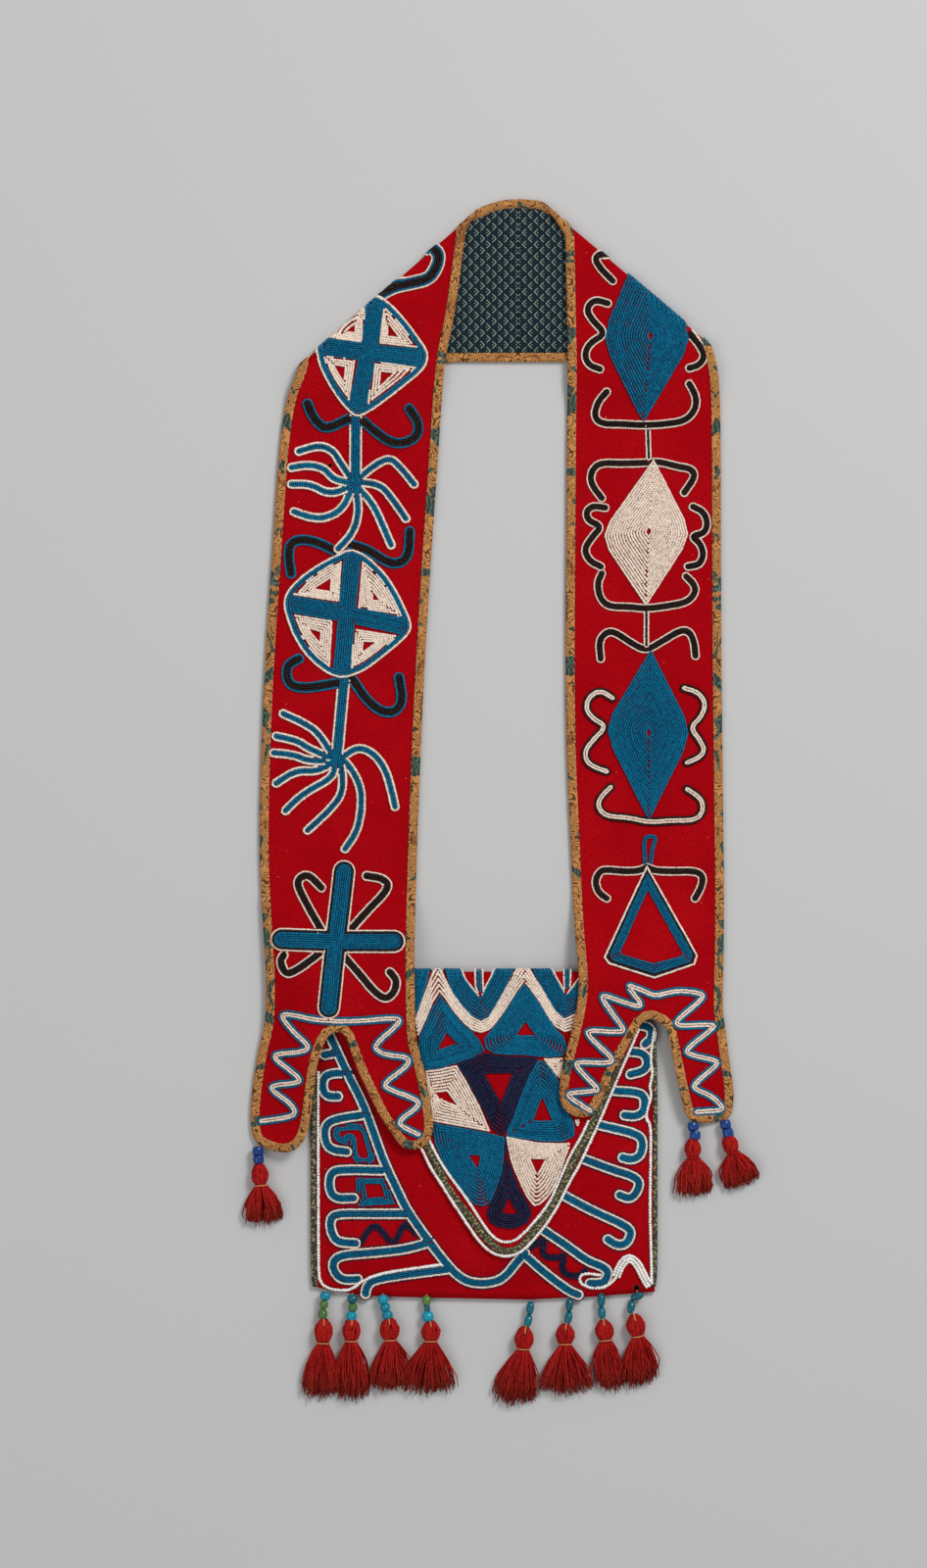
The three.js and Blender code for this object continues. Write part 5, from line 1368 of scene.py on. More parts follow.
# %% Fields of the flap
FLAP_FIELDS = [
    ("flap_left_triangle", "blue", [
        [(448.5, 1014), (460, 1029), (472, 1044), (483, 1053), (489, 1060), (495, 1071)],
        [(495, 1071), (483, 1078), (466, 1084), (448, 1089), (432, 1091)],
        [(432, 1091), (427, 1075), (427, 1058), (434, 1043), (441, 1027), (448.5, 1014)],
    ], [(456, 1053), (466, 1063.5), (446.5, 1070.5)]),
    ("flap_right_triangle", "blue", [
        [
            (534.5, 1003), (542, 1011.5), (551, 1024.5), (559, 1038), (567, 1049), (575, 1057),
            (579, 1069), (575, 1077),
        ],
        [
            (575, 1077), (560, 1078), (545, 1077), (530, 1075.5), (515, 1075.5), (503, 1074), (495, 1069),
            (493, 1060),
        ],
        [(493, 1060), (499, 1052.5), (510, 1039), (519, 1026), (527, 1013), (534.5, 1003)],
    ], [(536, 1042), (546.5, 1055.5), (526.5, 1055.5)]),
    ("flap_centre_triangle", "navy", [
        [(466, 1085), (480, 1079), (495, 1073), (505, 1075.5), (520, 1077), (535, 1077.5), (549, 1078.5)],
        [(549, 1078.5), (540, 1096), (531, 1117), (524, 1138), (517, 1152), (512, 1158)],
        [(512, 1158), (503, 1152), (490.5, 1127), (476, 1100), (466, 1085)],
    ], [(494, 1094.5), (523, 1094), (511.5, 1124)]),
    ("flap_left_field", "white", [
        [(435, 1091), (450, 1089), (466, 1085)], [(466, 1085), (475, 1100), (490, 1128), (501, 1154)],
        [(501, 1154), (480, 1150), (460, 1146.5), (440, 1143)], [(440, 1143), (437, 1118), (435, 1091)],
    ], [(442, 1114.5), (456, 1113), (467, 1127.5), (454, 1121.5)]),
    ("flap_right_field", "blue", [
        [(549.5, 1079), (558, 1084), (570, 1101), (578, 1128), (586, 1146), (586, 1158)],
        [(586, 1158), (575, 1163.5), (555, 1163.5), (535, 1161), (516, 1158)],
        [(516, 1158), (518, 1151), (524, 1138), (531, 1117), (540, 1096), (549.5, 1079)],
    ], [(553, 1118.5), (563.5, 1142), (544, 1142)]),
    ("flap_small_triangle", "white", [
        [(554, 1079.5), (576, 1078.5)], [(576, 1078.5), (571, 1101)], [(571, 1101), (554, 1079.5)],
    ], [(566, 1084), (567, 1084), (567, 1087)]),
    ("flap_small_triangle", "white", [
        [(586, 1141), (593, 1140)], [(593, 1140), (588, 1151)], [(588, 1151), (586, 1141)],
    ], [(589, 1143), (589.5, 1143), (589, 1144)]),
    ("flap_lower_left_field", "blue", [
        [(440, 1144), (460, 1147.5), (480, 1151), (500, 1155), (515, 1159)],
        [(515, 1159), (514.5, 1175), (512, 1195), (507, 1210), (500, 1226), (493, 1230)],
        [
            (493, 1230), (486, 1228.5), (480, 1224), (470, 1211), (460, 1197), (450, 1181), (443, 1163),
            (440, 1144),
        ],
    ], [(478, 1177), (490.5, 1177.5), (487.5, 1190.5)]),
    ("flap_lower_right_field", "white", [
        [(516, 1158), (530, 1161), (550, 1164.5), (570, 1165), (583, 1165)],
        [(583, 1165), (577, 1180), (571, 1197), (566, 1210), (559, 1221), (550, 1229), (545, 1230)],
        [(545, 1230), (538, 1222), (532, 1210), (525, 1194), (521, 1183), (518, 1170), (516, 1158)],
    ], [(541, 1181), (556, 1181.5), (548, 1196)]),
    ("flap_teardrop", "navy", [
        [(517, 1178), (519, 1183), (524, 1198), (531, 1213), (540, 1228), (542, 1237)],
        [(542, 1237), (539, 1245), (531, 1250), (519, 1252.5), (507, 1250), (499, 1245), (496, 1236)],
        [(496, 1236), (500, 1225), (507, 1212), (511, 1200), (514, 1185), (517, 1178)],
    ], [(519, 1221), (528.5, 1237.5), (512.5, 1236)]),
]
for motif, colour, sides, patch in FLAP_FIELDS:
    outer, inner = facing(sides, patch)
    field(motif, "flap", outer, inner, [colour], FIELD_BEAD)
single("flap_teardrop", "flap", [(515.7, 1158), (515.8, 1170), (516.5, 1180)], "navy", RIM_BEAD)
print("beads after the flap", count_sewn())

# %% [markdown]
# ### The pouch: combs of hooks on both sides of the flap, and white rows along its edges
#
# Both combs are sewn in one order, because their lowest strokes meet below the flap's tip and share one
# outline there.

# %% Edge rows of the pouch
EDGE_ROWS = {
    "pouch_left_edge_row": [
        (324.8, 1094), (324.5, 1136), (325, 1193), (325, 1296), (327, 1308), (336, 1314), (353, 1316),
        (362, 1312.5), (369.5, 1305.5), (388, 1298), (415, 1293.6), (449.5, 1288.7),
    ],
    "pouch_right_edge_row": [
        (668, 1049), (664.5, 1069), (664, 1084), (666, 1095.5), (662.5, 1109), (665, 1116.5), (658, 1139.5),
        (664, 1147), (664, 1174), (663, 1231), (664, 1270), (665, 1308),
    ],
    "pouch_right_comb": [
        (628, 1302.5), (622, 1309.5), (611, 1314), (598, 1312), (591.5, 1307), (591.5, 1300.5),
        (597, 1297.5), (612, 1299.5),
    ],
}
for motif, points in EDGE_ROWS.items():
    single(motif, "pouch", points)
ARCH_REACHES = (-3.1, 0, 3.1)
arch = rounded([(629, 1300), (633, 1289), (641, 1281), (650, 1287), (658, 1304), (662, 1310)])
for reach in ARCH_REACHES:
    single("pouch_right_edge_row", "pouch", arch + reach * quarter_turned(heading(arch)), soft=0)

# %% Combs
# The two outer "outline" rows of a comb are thin navy beads, partly painted shadow along the edge of the
# white rows.
COMB = ["outline", "white", "blue", "blue", "blue", "white", "outline"]
BLUE_ROWS = ["blue", "blue", "blue"]
NAVY_ROW = ["navy", "navy", "navy"]
POUCH_STROKES = {
    "pouch_left_comb": [
        (COMB, [
            (338, 1059), (354.5, 1094), (369, 1122), (376, 1139.5), (392, 1185), (405, 1212), (415, 1233),
            (434, 1260), (459, 1292.5), (472, 1304), (484, 1308), (500, 1308), (514, 1303), (528, 1285),
            (535.5, 1277),
        ]),
        (COMB, [(342, 1074), (331, 1076)]),
        (COMB, [(355.5, 1094), (338, 1094.5), (330, 1099), (329, 1111), (334, 1118), (345, 1118)]),
        (COMB, [(374, 1136), (342, 1141), (332.5, 1147), (331, 1159), (336, 1172), (354, 1174)]),
        (COMB, [(394, 1193), (346, 1192), (337, 1197), (336, 1212), (342, 1222), (361, 1221)]),
        (COMB, [
            (417, 1237), (376.5, 1237), (344, 1237), (337, 1243), (338, 1256), (344, 1266), (363, 1267),
        ]),
        (COMB, [
            (438, 1266), (415, 1273), (376.5, 1277), (348, 1279), (339, 1287), (342, 1298), (350, 1305),
            (365, 1304),
        ]),
        (COMB, [(457, 1293.5), (407, 1300), (380, 1305), (374, 1312), (373, 1319)]),
        (BLUE_ROWS, [
            (351, 1163), (345, 1161), (342.5, 1154), (347, 1149.5), (362, 1148.5), (371.5, 1149.5),
            (375.5, 1162), (379, 1176), (379.5, 1183), (368, 1184), (363, 1180), (361, 1170), (361, 1161),
            (357, 1157.5), (353.5, 1160),
        ]),
        (NAVY_ROW, [
            (366.5, 1271), (375, 1254.5), (383, 1248), (391, 1256), (400, 1267.5), (405, 1264), (411, 1249),
            (415.5, 1247.5), (429, 1261),
        ]),
    ],
    "pouch_right_comb": [
        (COMB, [(654, 1046), (664, 1048), (665, 1059), (658, 1065)]),
        (COMB, [(643, 1072.5), (656, 1074), (661, 1082), (658, 1092), (643, 1095.5)]),
        (COMB, [(625, 1112), (652, 1114), (658, 1120), (657, 1134), (648, 1138.5), (637, 1137)]),
        (COMB, [(612, 1147), (646.5, 1155), (656, 1162), (654, 1178), (644.5, 1182.5), (635, 1180)]),
        (COMB, [
            (597, 1182), (623.5, 1192), (646.5, 1199), (653, 1206.5), (648, 1218), (641, 1222),
            (632, 1218),
        ]),
        (COMB, [
            (578, 1220), (602, 1233), (637, 1248.5), (644.5, 1256), (639, 1268), (629, 1269), (620, 1263),
        ]),
        (COMB, [
            (555, 1254), (581, 1271.5), (599, 1285), (616, 1291), (621, 1298), (616, 1308), (602, 1308),
        ]),
        (COMB, [(535.5, 1279), (556.5, 1298), (579.5, 1315.5), (590, 1320)]),
        (NAVY_ROW, [
            (543, 1270), (556, 1262), (552, 1280), (570, 1282), (576, 1278), (572, 1297), (590, 1302),
            (597, 1295),
        ]),
    ],
}
comb_lanes = [
    lane
    for motif, figures in POUCH_STROKES.items()
    for colours, points in figures
    for lane in lanes_of(motif, "pouch", points, colours, size=COMB_BEAD)
]
strokes("pouch", comb_lanes)
field(
    "pouch_left_comb", "pouch",
    [(363, 1202), (369.5, 1199), (393, 1199), (398.5, 1205.5), (405.5, 1227), (365, 1229.5), (363, 1217)],
    [(373, 1207.5), (374, 1206.5), (387, 1206.5), (390, 1209), (392, 1219.5), (376, 1221), (374, 1214.5)],
    ["blue"], COMB_BEAD,
)
print("beads after the pouch", count_sewn())

# %% [markdown]
# ### Making the beads
#
# A bead is a short barrel: two rings of five points and a point at each end, turned along its row, with
# its own small change of size and tone. The value "rise" is 0 at the cloth and 1 on top, and high at both
# ends. The glass paints shade by it, darker towards the cloth, where the crevices between rows lie in
# shade, and none at the ends, so that a row reads as one cord. All beads of one figure are one piece.

# %% The barrel
RING, SHOULDER, END_RISE = 5, 0.45, 0.88
turns = np.arange(RING) * 2 * np.pi / RING + np.pi / 2
BARREL = np.concatenate([
    [(-0.5, 0, 0)],
    np.stack([np.full(RING, -SHOULDER), np.cos(turns), np.sin(turns)], 1),
    np.stack([np.full(RING, SHOULDER), np.cos(turns), np.sin(turns)], 1),
    [(0.5, 0, 0)],
])
# How high each point of the barrel lies, which sets the glass's painted shade: none on top or at the ends,
# most towards the cloth.
BARREL_RISE = np.clip(0.5 + 0.5 * BARREL[:, 2], 0, 1)
BARREL_RISE[[0, -1]] = END_RISE
one_ring, next_one = np.arange(RING) + 1, np.roll(np.arange(RING) + 1, -1)
BARREL_FACES = np.concatenate([
    np.stack([np.zeros(RING, int), next_one, one_ring], 1),
    np.stack([one_ring, next_one, next_one + RING], 1),
    np.stack([one_ring, next_one + RING, one_ring + RING], 1),
    np.stack([one_ring + RING, next_one + RING, np.full(RING, 2 * RING + 1)], 1),
])
print("a bead has", len(BARREL_FACES), "triangles")

# %% Bead meshes


def triangle_mesh(name, points, faces):
    """A mesh of triangles from whole arrays, points in millimetres."""
    mesh = bpy.data.meshes.new(name)
    mesh.vertices.add(len(points))
    mesh.vertices.foreach_set("co", (points * MM).astype(np.float32).ravel())
    mesh.loops.add(faces.size)
    mesh.loops.foreach_set("vertex_index", faces.astype(np.int32).ravel())
    mesh.polygons.add(len(faces))
    mesh.polygons.foreach_set("loop_start", np.arange(0, faces.size, 3, dtype=np.int32))
    mesh.polygons.foreach_set("use_smooth", np.ones(len(faces), bool))
    mesh.update(calc_edges=True)
    return mesh


def add_values(mesh, name, values):
    """A value for each point, which a material can read by its name."""
    layer = mesh.attributes.new(name, "FLOAT", "POINT")
    layer.data.foreach_set("value", np.asarray(values, np.float32).ravel())


NUDGE, PLACE_DRIFT, SIZE_DRIFT = 0.2, 0.05, 0.06


def bead_piece(name, carrier, beads):
    """All beads of one figure: the barrel turned to each bead's own axes, in whole arrays. Over a fold
    the beads are as much larger as the cloth's outside is longer, so that the rows stay closed."""
    _, place, height = CARRIERS[carrier]
    table = np.array([bead[:6] for bead in beads])
    colours = [SHOWN_AS.get(bead[6], bead[6]) for bead in beads]
    count = len(beads)
    flat, way, size = table[:, :2], table[:, 2:4], table[:, 4]
    flat = flat + rng.normal(0, PLACE_DRIFT, flat.shape)
    seat = height + BEAD_LIFT * (size - 1)
    middle = place(flat, seat)
    beside = quarter_turned(way)
    along, out = (
        place(flat + NUDGE * turn, seat) - place(flat - NUDGE * turn, seat) for turn in (way, beside)
    )
    stretch = np.stack([np.linalg.norm(along, axis=1), np.linalg.norm(out, axis=1)], 1) / (2 * NUDGE)
    along = unit(along)
    across = unit(np.cross(unit(place(flat, seat + NUDGE) - middle), along))
    axes = np.stack([along, across, np.cross(along, across)], 1)
    grown = size * rng.normal(1, SIZE_DRIFT, count)
    scale = grown[:, None] * [BEAD_STEP, BEAD_RADIUS, BEAD_RADIUS]
    scale[:, :2] *= stretch
    points = middle[:, None] + np.einsum("vk,bk,bkc->bvc", BARREL, scale, axes)
    faces = (BARREL_FACES[None] + (np.arange(count) * len(BARREL))[:, None, None]).reshape(-1, 3)
    mesh = triangle_mesh(name, points.reshape(-1, 3), faces)
    tones = np.clip(table[:, 5] + rng.normal(0, BEAD_TONE, count), 0, 1)
    add_values(mesh, "tone", np.repeat(tones, len(BARREL)))
    add_values(mesh, "rise", np.tile(BARREL_RISE, count))
    shown = sorted(set(colours))
    piece = placed(name, mesh, [GLASS[colour] for colour in shown])
    picks = np.repeat([shown.index(colour) for colour in colours], len(BARREL_FACES))
    mesh.polygons.foreach_set("material_index", picks.astype(np.int32))
    return piece


# %% Bead pieces
# A figure's name is the start of the name of the solid that it replaces.
SLOTS = {row["node"]: row["material_slot"] for row in frame["record"]["subparts"]}
carried = {name: [] for name in CARRIERS}
for (motif, carrier), beads in sewn.items():
    piece = bead_piece(f"{motif}_seed_beads", carrier, beads)
    carried[carrier].append(piece)
    if motif == "flap_edge":
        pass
    else:
        solid = next(name for name in SLOTS if name.startswith(motif))
        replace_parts(piece, solid)
print("seed beads", count_sewn(), "in", len(sewn), "figures")

# %% [markdown]
# ### The flap's band
#
# Between the two white rows a strip of printed calico follows the flap's edge.

# %% Band
band_line = stepped(on_pouch(rounded([*FLAP_LEFT[3:], *FLAP_RIGHT[-2:2:-1]])), STRIP_STEP)
BAND_SECTION = [(0.9, 1.22), (0.9, 1.5), (3.0, 1.75), (5.4, 1.5), (5.4, 1.22)]
band = strip(
    "flap_band_strip", band_line, BAND_SECTION, flap_place, olive_print, 1, "flap_edge_band"
)
carried["flap"].append(band)

# %% [markdown]
# ## Strings of larger beads and wool tassels
#
# Below each string hangs a tassel: a hank of yarn folded over, tied at the neck, and cut. Every strand is a
# thin tube along its own line. In the head the strands bow out between the top and the neck; below it they
# spread to the cut end, with a little wander. The larger beads are turned shapes: a profile of distance and
# radius, carried round the thread.

# %% Tubes
TUBE_SIDES = 3
# Nearly upright, so that no strand runs along it.
TUBE_UP = np.array([0.02, 0.03, 1.0])


def tubes(lines, radii, sides=TUBE_SIDES):
    """Tubes along many lines at once: their points, their triangles, and how far along each point lies."""
    count, steps, _ = lines.shape
    ahead = unit(np.gradient(lines, axis=1))
    first = unit(np.cross(ahead, TUBE_UP))
    second = np.cross(ahead, first)
    turns = np.arange(sides) * 2 * np.pi / sides
    ring = first[:, :, None] * np.cos(turns)[:, None] + second[:, :, None] * np.sin(turns)[:, None]
    points = lines[:, :, None] + ring * np.broadcast_to(radii, (count, steps))[:, :, None, None]
    index = np.arange(count * steps * sides).reshape(count, steps, sides)
    after = np.roll(index, -1, 2)
    walls = [
        np.stack([index[:, :-1], after[:, :-1], after[:, 1:]], -1).reshape(-1, 3),
        np.stack([index[:, :-1], after[:, 1:], index[:, 1:]], -1).reshape(-1, 3),
    ]
    ends = []
    for corner in range(1, sides - 1):
        ends.append(np.stack([index[:, 0, 0], index[:, 0, corner + 1], index[:, 0, corner]], -1))
        ends.append(np.stack([index[:, -1, 0], index[:, -1, corner], index[:, -1, corner + 1]], -1))
    along = np.broadcast_to(np.linspace(0, 1, steps)[None, :, None], index.shape)
    return points.reshape(-1, 3), np.concatenate(walls + ends), along.ravel()


# %% Turned beads
HALF_SHAPES = {
    "round": [(0.45, 0.26), (0.46, 0.42), (0.39, 0.7), (0.22, 0.92)],
    "oval": [(0.48, 0.22), (0.5, 0.4), (0.42, 0.66), (0.24, 0.9)],
    "drum": [(0.44, 0.3), (0.48, 0.72), (0.42, 0.92), (0.24, 0.98)],
}
BEAD_SIDES, BEAD_SWELL, BEAD_HOLE = 14, 1.15, 0.1


def turned_bead(centre, along, shape, width, length):
    """Half a profile, as shares of the length and of the radius, mirrored at the bead's middle, carried
    round its axis and closed through its hole."""
    half = np.array(HALF_SHAPES[shape])
    profile = np.concatenate([half * (-1, 1), [(0, 1)], half[::-1]]) * (length, width / 2)
    profile = np.concatenate([profile, [(profile[-1, 0], BEAD_HOLE), (profile[0, 0], BEAD_HOLE)]])
    across = unit(np.cross(along, [0, 0, 1.0]))
    up = np.cross(across, along)
    turns = np.arange(BEAD_SIDES) * 2 * np.pi / BEAD_SIDES
    ring = across * np.cos(turns)[:, None] + up * np.sin(turns)[:, None]
    points = centre + profile[:, None, :1] * along + profile[:, None, 1:] * ring[None]
    rows = len(profile)
    index = np.arange(rows * BEAD_SIDES).reshape(rows, BEAD_SIDES)
    below, beside = np.roll(index, -1, 0), np.roll(index, -1, 1)
    corner = np.roll(below, -1, 1)
    faces = np.concatenate([
        np.stack([index, below, corner], -1).reshape(-1, 3),
        np.stack([index, corner, beside], -1).reshape(-1, 3),
    ])
    return points.reshape(-1, 3), faces


class Heap:
    """Gathers points, triangles, tones and materials of one piece."""

    def __init__(self):
        """Starts empty."""
        self.points, self.faces, self.tones, self.along, self.picks, self.size = [], [], [], [], [], 0

    def add(self, points, faces, tones, along, pick):
        """Adds points and triangles, with a tone, a share along the strand and the number of a material."""
        self.points.append(points)
        self.faces.append(faces + self.size)
        self.tones.append(np.broadcast_to(tones, len(points)))
        self.along.append(np.broadcast_to(along, len(points)))
        self.picks.append(np.full(len(faces), pick))
        self.size += len(points)

    def piece(self, name, materials):
        """One object of all that was added."""
        mesh = triangle_mesh(name, np.concatenate(self.points), np.concatenate(self.faces))
        add_values(mesh, "tone", np.concatenate(self.tones))
        add_values(mesh, "along", np.concatenate(self.along))
        # Turned beads get no painted crevice shade.
        add_values(mesh, "rise", np.ones(self.size))
        made = placed(name, mesh, materials)
        mesh.polygons.foreach_set("material_index", np.concatenate(self.picks).astype(np.int32))
        return made


# %% Strands of a tassel
HEAD_STRANDS, HEAD_STEPS, HEAD_TUCK, HEAD_CORE, HEAD_DEPTH = 60, 8, 1.1, 0.4, 0.84
HEAD_ARC, HEAD_POWER, HEAD_DRIFT, TURN_DRIFT = (0.04, 0.88), 0.7, 0.22, 0.06
CLEFT, CLEFT_WIDTH = 0.42, 0.22
SKIRT_STRANDS, SKIRT_STEPS, STRAYS, STRAY_REACH = 180, 9, 14, (1.1, 1.35)
SKIRT_ROUND, SETTLE, FLARE, LOW_ROOM, HIGH_ROOM = 0.75, 0.35, 86, 0.1, 1.6
CUT_DRIFT, CUT_ROUND, WANDER, SMALL_WANDER, SWAY = (-0.02, 0.06), 0.1, 1.1, 0.35, 0.3
STRAND, HEAD_STRAND, STRAND_DRIFT, TAPER = 0.46, 1.5, 0.08, 0.45
TASSEL_MIDDLE, NECK = 4.6, (2.9, 2.7)
TIE, TIE_TURNS, TIE_STEPS, TIE_SIDES, TIE_ROOM, TIE_RISE = 0.22, 2, 40, 5, 0.9, 0.3


def head_lines(head_spot, neck_spot, side, half):
    """Strands that bow out between the top and the neck. Their reach from the middle is the half width times
    a power of a sine, and less in the cleft at the front and the back."""
    share = np.linspace(0, 1, HEAD_STEPS)
    turn = np.linspace(0, 2 * np.pi, HEAD_STRANDS, endpoint=False) + rng.normal(0, TURN_DRIFT, HEAD_STRANDS)
    bulge = np.sin(np.pi * (HEAD_ARC[0] + HEAD_ARC[1] * share)) ** HEAD_POWER
    cleft = 1 - CLEFT * np.exp(-((np.cos(turn) / CLEFT_WIDTH) ** 2))[:, None] * (1 - share)
    reach = (half * bulge[None] + HEAD_CORE) * cleft
    top_spot = 2 * head_spot - neck_spot
    way = top_spot + (neck_spot - top_spot) * share[:, None]
    lines = np.zeros((HEAD_STRANDS, HEAD_STEPS, 3))
    lines[..., :2] = way[None] + (reach * np.cos(turn)[:, None])[..., None] * side
    lines[..., 2] = TASSEL_MIDDLE + HEAD_DEPTH * reach * np.sin(turn)[:, None]
    return lines + rng.normal(0, HEAD_DRIFT, lines.shape)


def skirt_lines(neck_spot, foot_spot, side, foot_width, thick):
    """Strands from the neck to the cut end, and their radii. A strand keeps its share of the width and of
    the height all the way down, wanders by two sine waves, and doesn't go below the table."""
    share = np.linspace(0, 1, SKIRT_STEPS)
    spread = rng.uniform(-1, 1, SKIRT_STRANDS)
    spread[:STRAYS] *= rng.uniform(*STRAY_REACH, STRAYS)
    layer = np.sqrt(rng.uniform(0, 1, SKIRT_STRANDS)) * np.sqrt(np.maximum(1 - SKIRT_ROUND * spread**2, 0))
    level = rng.choice([-1, 1], SKIRT_STRANDS) * layer
    start = neck_spot + (np.clip(spread, -1, 1) * NECK[0])[:, None] * side
    length = np.linalg.norm(foot_spot - neck_spot)
    cut = 1 + rng.normal(*CUT_DRIFT, SKIRT_STRANDS) - CUT_ROUND * spread**2
    reach = np.clip(spread, -STRAY_REACH[1], STRAY_REACH[1]) * foot_width * UNIT_X / 2
    flare = 1 - (1 - share) ** (FLARE / foot_width)
    sag = unit(foot_spot - neck_spot)
    lines = np.zeros((SKIRT_STRANDS, SKIRT_STEPS, 3))
    lines[..., :2] = start[:, None] + (length * cut[:, None] * share)[..., None] * sag
    wave = rng.uniform(0, 2 * np.pi, (SKIRT_STRANDS, 1))
    bends = rng.uniform(3, 9, (SKIRT_STRANDS, 1))
    small = SMALL_WANDER * np.sin(2.3 * wave + share * 17) * share
    wander = WANDER * np.sin(wave + share * bends) * share + small
    out = (reach - np.clip(spread, -1, 1) * NECK[0])[:, None] * flare + wander
    lines[..., :2] += out[..., None] * side
    low, high = STRAND * thick + LOW_ROOM, 2 * TASSEL_MIDDLE - HIGH_ROOM
    rest = low + (high - low) * (0.5 + 0.5 * level)[:, None] * (1 - SETTLE * share)
    near = TASSEL_MIDDLE + level[:, None] * NECK[1]
    height = near + (rest - near) * smooth(share * 2) + SWAY * np.cos(wave + share * bends)
    lines[..., 2] = np.maximum(height, low)
    return lines, STRAND * thick * rng.normal(1, STRAND_DRIFT, (SKIRT_STRANDS, 1)) * (1 - TAPER * share**4)


def tie_line(neck_spot, down, side):
    """The thread round the neck: a flat spiral of a few turns."""
    angle = np.linspace(0, 2 * np.pi * TIE_TURNS, TIE_STEPS)
    rise = np.linspace(-TIE_RISE, TIE_RISE, TIE_STEPS)
    coil = np.zeros((1, TIE_STEPS, 3))
    across = (NECK[0] + TIE_ROOM) * np.cos(angle)
    coil[0, :, :2] = neck_spot + rise[:, None] * down + across[:, None] * side
    coil[0, :, 2] = TASSEL_MIDDLE + (NECK[1] + TIE_ROOM) * np.sin(angle)
    return coil


# %% Tassel and string
RED_TIES = ("right_tab_1", "right_tab_2")
THREAD_ENDS, THREAD_FRONT = np.array([[0.85], [0.5]]), (0.6, 0.8)
THREAD, THREAD_STEP, THREAD_HEIGHT, THREAD_LEAD = 0.42, 1.2, 2.6, 6
BEAD_DROP, TAB_YARN = 0.4, 1.25


def tassel(name, solid, on, head, half, neck, foot, foot_width, thick):
    """One tassel: head strands, skirt strands and the tie. head and neck are pattern points, half is the
    half width of the head in millimetres, foot the middle of the cut end and foot_width its width in
    pattern units."""
    heap = Heap()
    head_spot, neck_spot, foot_spot = on(head), on(neck), on(foot)
    down = unit(neck_spot - head_spot)
    side = np.array([-down[1], down[0]])
    points, faces, _ = tubes(head_lines(head_spot, neck_spot, side, half), STRAND * thick * HEAD_STRAND)
    heap.add(points, faces, np.repeat(rng.uniform(0.3, 1, HEAD_STRANDS), HEAD_STEPS * TUBE_SIDES), 0.05, 0)
    points, faces, along = tubes(*skirt_lines(neck_spot, foot_spot, side, foot_width, thick))
    heap.add(points, faces, np.repeat(rng.uniform(0, 1, SKIRT_STRANDS), SKIRT_STEPS * TUBE_SIDES), along, 0)
    points, faces, _ = tubes(tie_line(neck_spot, down, side), TIE, TIE_SIDES)
    heap.add(points, faces, 0.5, 0, 1)
    piece = heap.piece(f"{name}_yarn_tassel", [yarn, yarn if name in RED_TIES else thread])
    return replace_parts(piece, solid)


def bead_string(name, solid, on, beads, top, ends, front, slot):
    """Turned beads on a thread from the hem to the tassel's head. The thread ends as far above the
    tassel's middle as front says: in the cleft on top of the head, or inside the head where front is
    0."""
    heap = Heap()
    shown = sorted({bead[0] for bead in beads})
    spots = [np.array([*on(bead[1:3]), TASSEL_MIDDLE - BEAD_DROP]) for bead in beads]
    last = [np.array([*on(end), TASSEL_MIDDLE + share * front]) for end, share in zip(ends, THREAD_FRONT)]
    chain = np.array([[*on(top), THREAD_HEIGHT], *spots, *last])
    for number, (colour, _, _, shape, width, length, *turn) in enumerate(beads):
        along = unit(chain[number + 2] - chain[number])
        if turn:
            along = unit(np.array([*turn, 0.0]))
        size = BEAD_SWELL * width * UNIT_X, length * UNIT_Y
        points, faces = turned_bead(spots[number], along, shape, *size)
        heap.add(points, faces, rng.uniform(0.2, 0.9), 0, shown.index(colour))
    line = stepped(chain, THREAD_STEP)
    points, faces, _ = tubes(line[None], THREAD, TIE_SIDES)
    heap.add(points, faces, 0.5, 0, len(shown))
    piece = heap.piece(f"{name}_glass_beads", [*[GLASS[colour] for colour in shown], thread])
    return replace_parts(piece, solid)


